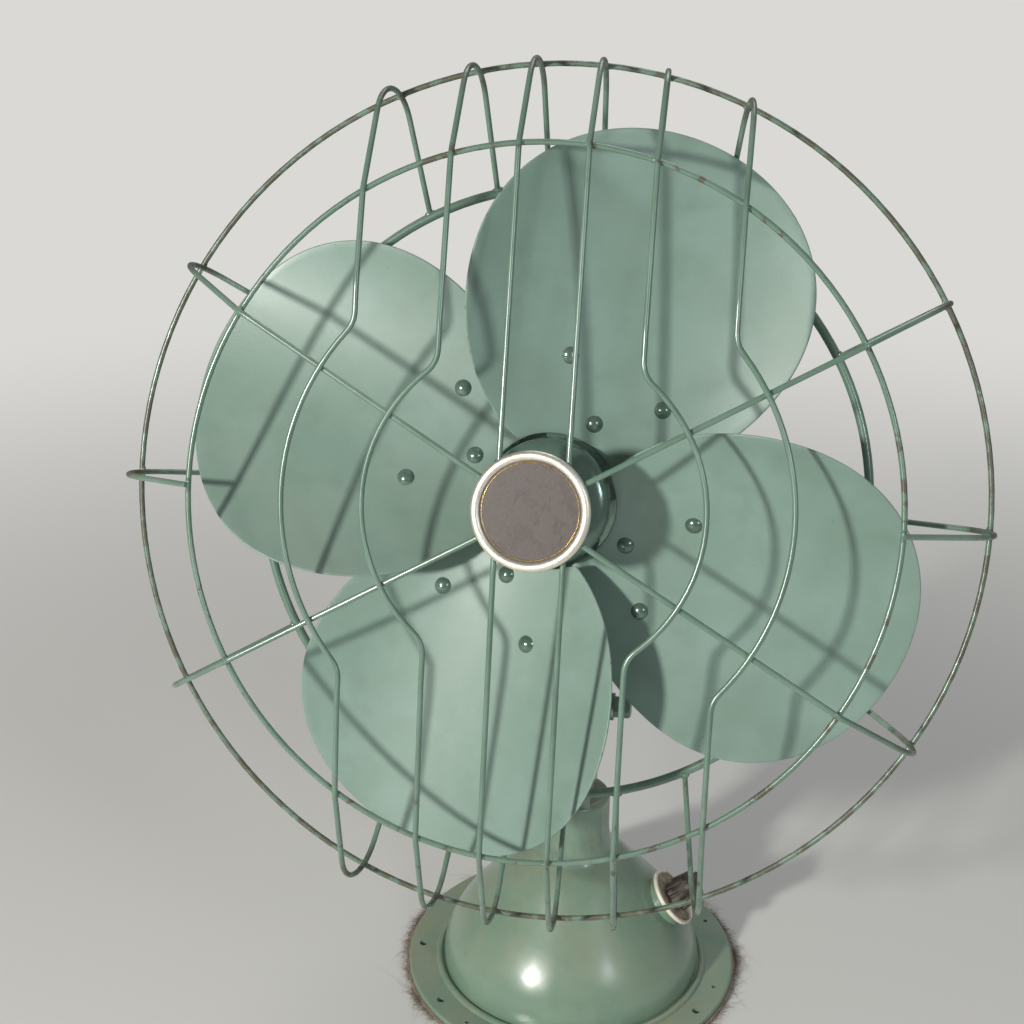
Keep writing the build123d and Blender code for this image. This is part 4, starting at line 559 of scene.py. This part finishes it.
def blade_sheet(name, turn, thickness):
    """One blade: polar grid on the lobe, lifted onto an arc, with a rounded edge and two faces.

    A point at share s of the way from the grid's middle to the rim lies at middle + s * ray; the
    sheet's face is at crest centre + sqrt(arc radius^2 - across^2), and the back face lies one
    thickness further out along the same radius. Half a circle joins the two at the rim.
    """
    angle = round_steps(224)
    rays = blade_rays(angle)
    length = np.sqrt((rays ** 2).sum(0))
    half = thickness / 2
    face = np.linspace(0, 1, 26)[1:]
    level = np.zeros(len(face))
    bead = np.radians(np.linspace(-90, 90, 9))[1:-1]
    share = np.concatenate([face, np.ones(len(bead)), face[::-1]])
    beyond = np.concatenate([level, np.cos(bead), level])
    depth = np.concatenate([level, (np.sin(bead) + 1) / 2, level + 1])
    flat = (share[:, None] * (length - half) + beyond[:, None] * half) / length
    edge = np.clip(1 - length * (1 - flat) / RUBBED_EDGE, 0, 1)
    # One more point closes each face in its middle.
    out, across = (np.concatenate([[middle], (middle + flat * ray).ravel(), [middle]])
                   for middle, ray in zip(GRID_MIDDLE, rays))
    depth = np.concatenate([[0.0], np.repeat(depth, len(angle)), [1.0]]) * thickness
    edge = np.concatenate([[0.0], edge.ravel(), [0.0]])
    swing = np.arcsin((across - BLADE_CREST_ACROSS) / BLADE_ARC_R)
    sheet_r = BLADE_ARC_R + depth
    back = BLADE_CREST_BACK - BLADE_ARC_R + sheet_r * np.cos(swing)
    across = BLADE_CREST_ACROSS + sheet_r * np.sin(swing)
    side = out * np.cos(turn) - across * np.sin(turn)
    up = out * np.sin(turn) + across * np.cos(turn)
    rows, columns = len(share), len(angle)
    ring = np.arange(columns)
    following = (ring + 1) % columns
    last = rows * columns + 1
    first_fan = np.stack([0 * ring, 1 + following, 1 + ring], -1)
    last_fan = np.stack([0 * ring + last, last - columns + ring, last - columns + following], -1)
    faces = [*grid_faces(rows, columns, False, True, 1).tolist(), *first_fan.tolist(),
             *last_fan.tolist()]
    points = to_frame(rows_of(side, back, up) * MM)
    return outward(mesh_object(name, points, faces, {"edge": edge}))


def ring_touches(node, ring):
    """Where a node's wires touch a guard ring.

    Gives each touch's angle about the spin axis, and the mean way outwards and backwards from
    the ring's centre line to the wire's points there.
    """
    radius, back, wire_r = RINGS[ring]
    points = to_head(mesh_points(NODES[node].data))
    angle = np.arctan2(points[:, 2], points[:, 0])
    ways = np.stack([np.hypot(points[:, 0], points[:, 2]) - radius, points[:, 1] - back], -1)
    near = np.hypot(ways[:, 0], ways[:, 1]) < wire_r + TOUCH_REACH
    if not near.any():
        return [], []
    found = np.sort(angle[near])
    groups = np.split(found, np.nonzero(np.diff(found) > TOUCH_SPREAD)[0] + 1)
    middles = [group.mean() for group in groups]
    return middles, [ways[near & (np.abs(angle - middle) < TOUCH_SPREAD)].mean(0)
                     for middle in middles]


def weld_beads(name, ring, length):
    """Resistance-weld nuggets: small flattened ellipsoids where the wires cross a ring.

    Each is a sphere of unit radius scaled along the ring, outwards and back, with a slow ripple.
    """
    radius, back, wire_r = RINGS[ring]
    middles, ways = [], []
    for node in WIRE_NODES:
        for kept, found in zip((middles, ways), ring_touches(node, ring)):
            kept.extend(found)
    middles, ways = np.array(middles), np.array(ways)
    ways = ways / np.maximum(np.hypot(ways[:, 0], ways[:, 1]), 1e-6)[:, None] * WELD_OFFSET
    rows, columns = 9, 14
    u, v = np.linspace(0, np.pi, rows)[:, None], round_steps(columns)
    ball = rows_of(np.cos(u), np.sin(u) * np.cos(v), np.sin(u) * np.sin(v))
    wobble = 1 + 0.10 * np.sin(3 * ball[:, 0] + 5 * np.arange(len(middles))[:, None])
    along = ball[:, 0] * length / 2 * wobble
    thick = WELD_THICK * wire_r * wobble
    points = about_axis(radius + ways[:, :1] * wire_r + ball[:, 1] * thick,
                        back + ways[:, 1:] * wire_r + ball[:, 2] * thick,
                        middles[:, None] + along / radius)
    faces = repeated(grid_faces(rows, columns, False, True), len(ball), len(middles))
    return outward(mesh_object(name, to_frame(points), faces))


def felt_ring(name, inner, outer, thick):
    """Felt washer: a rounded-rectangle profile round the base, its outer edge ragged by waves.

    The rim's radius and its height each add one sine for every number of waves a turn, lower
    the shorter its waves are.
    """
    angle = round_steps(480)[:, None]
    waves = np.array(RIM_WAVES)
    order = np.arange(1, len(waves) + 1)
    shift = np.random.default_rng(7).uniform(0, TURN, (2, len(waves)))
    ragged = (RIM_RAGGED / order ** 0.5 * np.sin(waves * angle + shift[0])).sum(1)[:, None]
    lift = (RIM_LIFT / order * np.sin((waves + 2) * angle + shift[1])).sum(1)[:, None]
    middle, half = (inner + outer) / 2, thick / 2
    bend = np.radians(np.linspace(-90, 90, 9))
    profile_r = np.concatenate([[inner, middle], outer - half + half * np.cos(bend),
                                [middle, inner]])
    profile_z = np.concatenate([[0, 0], half + half * np.sin(bend), [thick, thick]])
    weight = np.clip((profile_r - middle) / (outer - middle), 0, 1) ** 2
    radius = profile_r + weight * ragged
    height = np.clip(profile_z + weight * lift * (profile_z / thick), 0, thick)
    points = rows_of(radius * np.cos(angle), radius * np.sin(angle), height) * MM
    faces = grid_faces(len(angle), len(profile_r), True, True)
    return outward(mesh_object(name, points, faces))


def felt_fibres(name, radius, top, count, length):
    """Loose wool at the felt's edge: thin four-sided needles that curl out, sideways and down.

    At share t of its length a needle has gone length * (t * out + (t * lean + t^2 * curl) *
    side) from its root, and t^2 * droop down, but never through the table.
    """
    clumps, spread = 80, 0.06
    root_depth, lowest = 0.9, 0.12
    joints, half_width, taper, flatness = 5, 0.13, 0.8, 0.6
    rng = np.random.default_rng(11)
    clump = rng.uniform(0, TURN, clumps)
    angle = clump[rng.integers(0, clumps, count)] + rng.normal(0, spread, count)
    root = rng.uniform(0.3, top - 0.2, count)
    lean = rng.normal(0, 0.9, (count, 1, 1))
    reach = rng.gamma(3.0, length / 3.0, (count, 1, 1))
    curl = rng.normal(0, 0.8, (count, 1, 1))
    droop = rng.uniform(0, 1.2, (count, 1))
    out = np.stack([np.cos(angle), np.sin(angle), 0 * angle], -1)[:, None]
    side = np.stack([-np.sin(angle), np.cos(angle), 0 * angle], -1)[:, None]
    rise = np.array([0.0, 0.0, 1.0])
    share = np.linspace(0, 1, joints)[:, None]
    path = ((radius - root_depth) * out + root[:, None, None] * rise
            + reach * (share * out + (share * lean + share ** 2 * curl) * side))
    path[..., 2] = np.clip(path[..., 2] - share[:, 0] ** 2 * droop, lowest, None)
    width = half_width * (1 - taper * share)
    corners = [path + width * side, path + width * rise,
               path - width * side, path - width * rise * flatness]
    points = np.stack(corners, axis=2).reshape(-1, 3) * MM
    last = 4 * (joints - 1)
    caps = [[3, 2, 1, 0], [last, last + 1, last + 2, last + 3]]
    needle = np.concatenate([grid_faces(joints, 4, False, True), caps])
    return outward(mesh_object(name, points, repeated(needle, 4 * joints, count)))


def bound_coil_end(name, front, back, wire):
    """Bound end turns of a motor winding: a rounded ring section rippled by its wires.

    The section's outline is pushed in and out by one cosine a wire, and the ripple drifts with the
    angle so that the turns lie at a slant; it narrows where cord binds it.
    """
    ripple_depth, waist_depth, waist_angle, slant = 0.05, 0.05, 0.012, 9
    steps, section_steps = 288, 180
    s, angle = round_steps(section_steps), round_steps(steps)[:, None]
    half_r, half_b = (WINDING_OUTER - WINDING_INNER) / 2, (back - front) / 2
    wires = int(4 * (half_r + half_b) / wire)
    ripple = 0.5 + 0.5 * np.cos(wires * s + slant * angle)
    between = TURN / BINDINGS
    waist = np.exp(-((np.mod(angle, between) - between / 2) / waist_angle) ** 2)
    scale = (1 - waist_depth * waist) * (1 - ripple_depth * ripple)
    way_r, way_b = rounded_box(s, WINDING_POWER)
    points = about_axis((WINDING_INNER + WINDING_OUTER) / 2 + half_r * way_r * scale,
                        (front + back) / 2 + half_b * way_b * scale, angle)
    return outward(mesh_object(name, to_frame(points * MM),
                               grid_faces(steps, section_steps, True, True)))


def binding_cords(name, front, back, cord_r):
    """Cord loops round the end turns: a small tube carried round the winding's section."""
    sunk = 0.965
    section_steps, tube_steps = 48, 8
    tube = round_steps(tube_steps)
    way_r, way_b = (way[:, None] for way in rounded_box(round_steps(section_steps), WINDING_POWER))
    half_r, half_b = (WINDING_OUTER - WINDING_INNER) / 2 * sunk, (back - front) / 2 * sunk
    radius = (WINDING_INNER + WINDING_OUTER) / 2 + way_r * (half_r + cord_r * np.cos(tube))
    place = (front + back) / 2 + way_b * (half_b + cord_r * np.cos(tube))
    turns = (np.arange(BINDINGS) + 0.5)[:, None, None] * TURN / BINDINGS
    points = about_axis(radius, place, turns + cord_r * np.sin(tube) / radius)
    faces = repeated(grid_faces(section_steps, tube_steps, True, True),
                     section_steps * tube_steps, BINDINGS)
    return outward(mesh_object(name, to_frame(points * MM), faces))


def layered_coil(name, low, high, wire):
    """Choke winding: a box with rounded corners, rippled once a wire along its length (X)."""
    ripple_depth = 0.035
    length = high[0] - low[0]
    steps, section_steps = int(length / wire) * 8, 96
    along = np.linspace(0, 1, steps)[:, None]
    ripple = 0.5 + 0.5 * np.cos(TURN * along * length / wire)
    scale = 1 - ripple_depth * ripple
    middle, half = (low + high) / 2, (high - low) / 2
    way_y, way_z = rounded_box(round_steps(section_steps), CHOKE_POWER)
    points = rows_of(low[0] + along * length, middle[1] + way_y * half[1] * scale,
                     middle[2] + way_z * half[2] * scale)
    end = np.arange(section_steps)
    faces = [*grid_faces(steps, section_steps, False, True).tolist(), end[::-1].tolist(),
             (end + (steps - 1) * section_steps).tolist()]
    return outward(mesh_object(name, points, faces))


def bead_ring(name, radius, back, width, height):
    """Thin raised ring: a half-round profile carried round the spin axis."""
    steps = 160
    bend = np.radians(np.linspace(0, 180, 9))
    profile_r = np.concatenate([radius + width / 2 * np.cos(bend),
                                [radius - width / 2, radius + width / 2]])
    profile_back = np.concatenate([back - height * np.sin(bend), [back + BADGE_RING_FOOT] * 2])
    points = about_axis(profile_r * MM, profile_back * MM, round_steps(steps)[:, None])
    return outward(mesh_object(name, to_frame(points),
                               grid_faces(steps, len(profile_r), True, True)))


# ---------------------------------------------------------------- stage
def matt_floor(colour):
    """Floor of matt paint that glows in its own colour far away, for the camera alone."""
    line = np.linspace(-FLOOR_HALF, FLOOR_HALF, 9)
    floor = mesh_object("studio_floor", rows_of(line, line[:, None], -FLOOR_DROP),
                        grid_faces(len(line), len(line)))
    material, place = empty_material("matt_floor_paint")
    paint = add(material, "ShaderNodeBsdfPrincipled", None,
                {"Base Color": colour, "Roughness": 0.85}).outputs[0]
    glow = add(material, "ShaderNodeEmission", None, {"Color": colour, "Strength": 1.0}).outputs[0]
    far = add(material, "ShaderNodeVectorMath", {"operation": "LENGTH"},
              {0: place}).outputs["Value"]
    fade = add(material, "ShaderNodeMapRange", SMOOTH,
               {0: far, 1: FLOOR_FADE[0], 2: FLOOR_FADE[1]}).outputs[0]
    seen = add(material, "ShaderNodeLightPath").outputs["Is Camera Ray"]
    share = add(material, "ShaderNodeMath", TIMES, {0: fade, 1: seen}).outputs[0]
    blend = add(material, "ShaderNodeMixShader", None, {0: share, 1: paint, 2: glow}).outputs[0]
    add(material, "ShaderNodeOutputMaterial", None, {"Surface": blend})
    floor.data.materials.append(material)
    return floor


def studio_air():
    """World that lights the fan softly and shows the camera a plain light grey."""
    world = bpy.data.worlds.new("studio_air")
    world.use_nodes = True
    world.node_tree.nodes.clear()
    light, shown = (add(world, "ShaderNodeBackground", None,
                        {0: linear(colour), 1: strength}).outputs[0]
                    for colour, strength in (("#F2F4F5", 0.21), ("#E4E4E2", 1.0)))
    seen = add(world, "ShaderNodeLightPath").outputs["Is Camera Ray"]
    mixed = add(world, "ShaderNodeMixShader", None, {0: seen, 1: light, 2: shown}).outputs[0]
    add(world, "ShaderNodeOutputWorld", None, {0: mixed})
    return world


def hang_lamp(name, place, target, size, power, colour):
    """Square area lamp aimed at a point: lengths in metres, power in watts."""
    data = bpy.data.lights.new(name, "AREA")
    data.size, data.energy, data.color = size, power, linear(colour)[:3]
    lamp = bpy.data.objects.new(name, data)
    aim = (Vector(target) - Vector(place)).to_track_quat("-Z", "Y").to_matrix().to_4x4()
    lamp.matrix_world = Matrix.Translation(place) @ aim
    bpy.context.scene.collection.objects.link(lamp)


def photo_camera():
    """Camera that stands where the photograph was taken from."""
    data = bpy.data.cameras.new("photo_camera")
    data.lens, data.sensor_width = CAMERA_LENS, CAMERA_SENSOR
    data.clip_start, data.clip_end = 0.05, 50.0
    camera = bpy.data.objects.new("photo_camera", data)
    axes = np.column_stack([CAMERA_RIGHT, CAMERA_UP, -np.array(CAMERA_FORWARD), CAMERA_PLACE])
    camera.matrix_world = Matrix([*axes.tolist(), [0, 0, 0, 1]])
    bpy.context.scene.collection.objects.link(camera)
    return camera


# ---------------------------------------------------------------- settings and operators
class FanSettings(bpy.types.PropertyGroup):
    """Sizes and colours a user would change."""

    blade_thickness: bpy.props.FloatProperty(
        name="Blade sheet", description="Thickness of the blade sheet in millimetres", default=1.4)
    weld_length: bpy.props.FloatProperty(
        name="Weld length", description="Length of a weld nugget along its ring",
        default=0.0062, unit="LENGTH")
    felt_outer: bpy.props.FloatProperty(
        name="Felt radius", description="Outer radius of the felt in millimetres", default=108.9)
    fibre_count: bpy.props.IntProperty(
        name="Felt fibres", description="Number of loose fibres at the felt's edge", default=4200)
    fibre_length: bpy.props.FloatProperty(
        name="Fibre length", description="Mean length of a loose fibre in millimetres", default=4.0)
    winding_wire: bpy.props.FloatProperty(
        name="Winding wire", description="Wire pitch shown on the windings in millimetres",
        default=1.1)
    floor_colour: bpy.props.FloatVectorProperty(
        name="Floor colour", description="Colour of the studio floor", subtype="COLOR", size=4,
        min=0.0, max=1.0, default=linear("#DAD9D5"))
    key_power: bpy.props.FloatProperty(
        name="Key light", description="Power of the lamp at the front left", default=34.0,
        unit="POWER")


class FAN_OT_finishes(bpy.types.Operator):
    """Make the finishes and put them on the frame's nodes"""

    bl_idname = "desk_fan.finishes"
    bl_label = "Finishes"

    def execute(self, context):
        FINISHES.update(all_finishes())
        for part in RECORD["subparts"]:
            name = part["node"]
            finish = FINISHES[OWN_FINISH.get(name, part["material_slot"])]
            for place in NODES[name].material_slots:
                place.material = finish
        return {"FINISHED"}


class FAN_OT_blades(bpy.types.Operator):
    """Replace the four blades by sheets with rounded, worn edges"""

    bl_idname = "desk_fan.blades"
    bl_label = "Blades"

    def execute(self, context):
        thickness = context.scene.desk_fan.blade_thickness
        for index in range(BLADE_COUNT):
            turn = np.radians(BLADE_ANGLE) + TURN * index / BLADE_COUNT
            piece = blade_sheet(f"blade_sheet_{index + 1}", turn, thickness)
            dressed(piece, FINISHES["blade_enamel"], "rotor")
            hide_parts(f"blade_{index + 1}")
        return {"FINISHED"}


class FAN_OT_welds(bpy.types.Operator):
    """Weld nuggets where the guard's wires cross its rings"""

    bl_idname = "desk_fan.welds"
    bl_label = "Guard welds"

    def execute(self, context):
        length = context.scene.desk_fan.weld_length
        for ring in RINGS:
            piece = weld_beads(ring.removeprefix("guard_") + "_welds", ring, length)
            dressed(piece, FINISHES["guard_enamel"], "head")
        return {"FINISHED"}


class FAN_OT_felt(bpy.types.Operator):
    """Replace the felt by a ragged ring with loose fibres"""

    bl_idname = "desk_fan.felt"
    bl_label = "Felt"

    def execute(self, context):
        settings = context.scene.desk_fan
        ring = felt_ring("felt_ring", FELT_INNER, settings.felt_outer, FELT_THICK)
        dressed(ring, FINISHES["felt"], "base")
        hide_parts("base_felt_pad")
        fibres = felt_fibres("felt_fibres", settings.felt_outer, FELT_THICK, settings.fibre_count,
                             settings.fibre_length)
        dressed(fibres, FINISHES["felt"], "base")
        return {"FINISHED"}


class FAN_OT_windings(bpy.types.Operator):
    """Replace the windings by rippled, bound ones"""

    bl_idname = "desk_fan.windings"
    bl_label = "Windings"

    def execute(self, context):
        wire = context.scene.desk_fan.winding_wire
        for end, (front, back) in END_TURNS.items():
            turns = bound_coil_end(f"{end}_end_turns", front, back, wire)
            dressed(turns, FINISHES["winding_wire"], "head")
            if end == "front":
                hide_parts("stator_windings")
            cords = binding_cords(f"{end}_end_cords", front, back, CORD_R)
            dressed(cords, FINISHES["cord"], "head")
        low, high = (np.array(corner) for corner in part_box("speed_coil_winding"))
        coil = layered_coil("choke_coil", low, high, CHOKE_WIRE)
        dressed(coil, FINISHES["winding_wire"], "base")
        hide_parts("speed_coil_winding")
        return {"FINISHED"}


class FAN_OT_badge_ring(bpy.types.Operator):
    """Thin gilt ring on the badge's bare field"""

    bl_idname = "desk_fan.badge_ring"
    bl_label = "Badge ring"

    def execute(self, context):
        piece = bead_ring("badge_gilt_ring", BADGE_RING_R, BADGE_FACE, BADGE_RING_WIDTH,
                          BADGE_RING_HEIGHT)
        dressed(piece, FINISHES["gilt"], "head")
        return {"FINISHED"}


class FAN_OT_stage(bpy.types.Operator):
    """Floor, lamps, world and camera"""

    bl_idname = "desk_fan.stage"
    bl_label = "Stage"

    def execute(self, context):
        scene = context.scene
        settings = scene.desk_fan
        floor = matt_floor(tuple(settings.floor_colour))
        scene.world = studio_air()
        hang_lamp("key_lamp", (-0.95, -1.75, 0.95), (0, -0.1, 0.33), 0.13, settings.key_power,
                  "#FFFCF6")
        hang_lamp("fill_lamp", (1.25, -1.25, 1.05), (0, 0, 0.2), 0.28, 5.0, "#EEF4FF")
        hang_lamp("top_lamp", (0.2, 0.9, 1.9), (0, 0, 0.35), 1.0, 9.0, "#FFFFFF")
        scene.camera = photo_camera()
        scene.view_settings.view_transform = "Standard"
        return {"FINISHED"}


OPERATORS = (FAN_OT_finishes, FAN_OT_blades, FAN_OT_welds, FAN_OT_felt, FAN_OT_windings,
             FAN_OT_badge_ring, FAN_OT_stage)


class FAN_PT_panel(bpy.types.Panel):
    """Sidebar list of the fan's settings and steps"""

    bl_idname = "FAN_PT_panel"
    bl_label = "Desk Fan"
    bl_space_type = "VIEW_3D"
    bl_region_type = "UI"
    bl_category = "Desk Fan"

    def draw(self, context):
        settings = context.scene.desk_fan
        for key in FanSettings.__annotations__:
            self.layout.prop(settings, key)
        for operator in OPERATORS:
            self.layout.operator(operator.bl_idname)


CLASSES = (FanSettings, *OPERATORS, FAN_PT_panel)


def register():
    """Register the classes and the scene's settings."""
    for item in CLASSES:
        bpy.utils.register_class(item)
    bpy.types.Scene.desk_fan = bpy.props.PointerProperty(type=FanSettings)


def unregister():
    """Take the classes and the settings away again."""
    del bpy.types.Scene.desk_fan
    for item in reversed(CLASSES):
        bpy.utils.unregister_class(item)


def main():
    """Make everything in order."""
    register()
    bpy.ops.desk_fan.finishes()
    bpy.ops.desk_fan.blades()
    bpy.ops.desk_fan.welds()
    bpy.ops.desk_fan.felt()
    bpy.ops.desk_fan.windings()
    bpy.ops.desk_fan.badge_ring()
    bpy.ops.desk_fan.stage()
    bpy.context.view_layer.update()


if __name__ == "__main__":
    main()
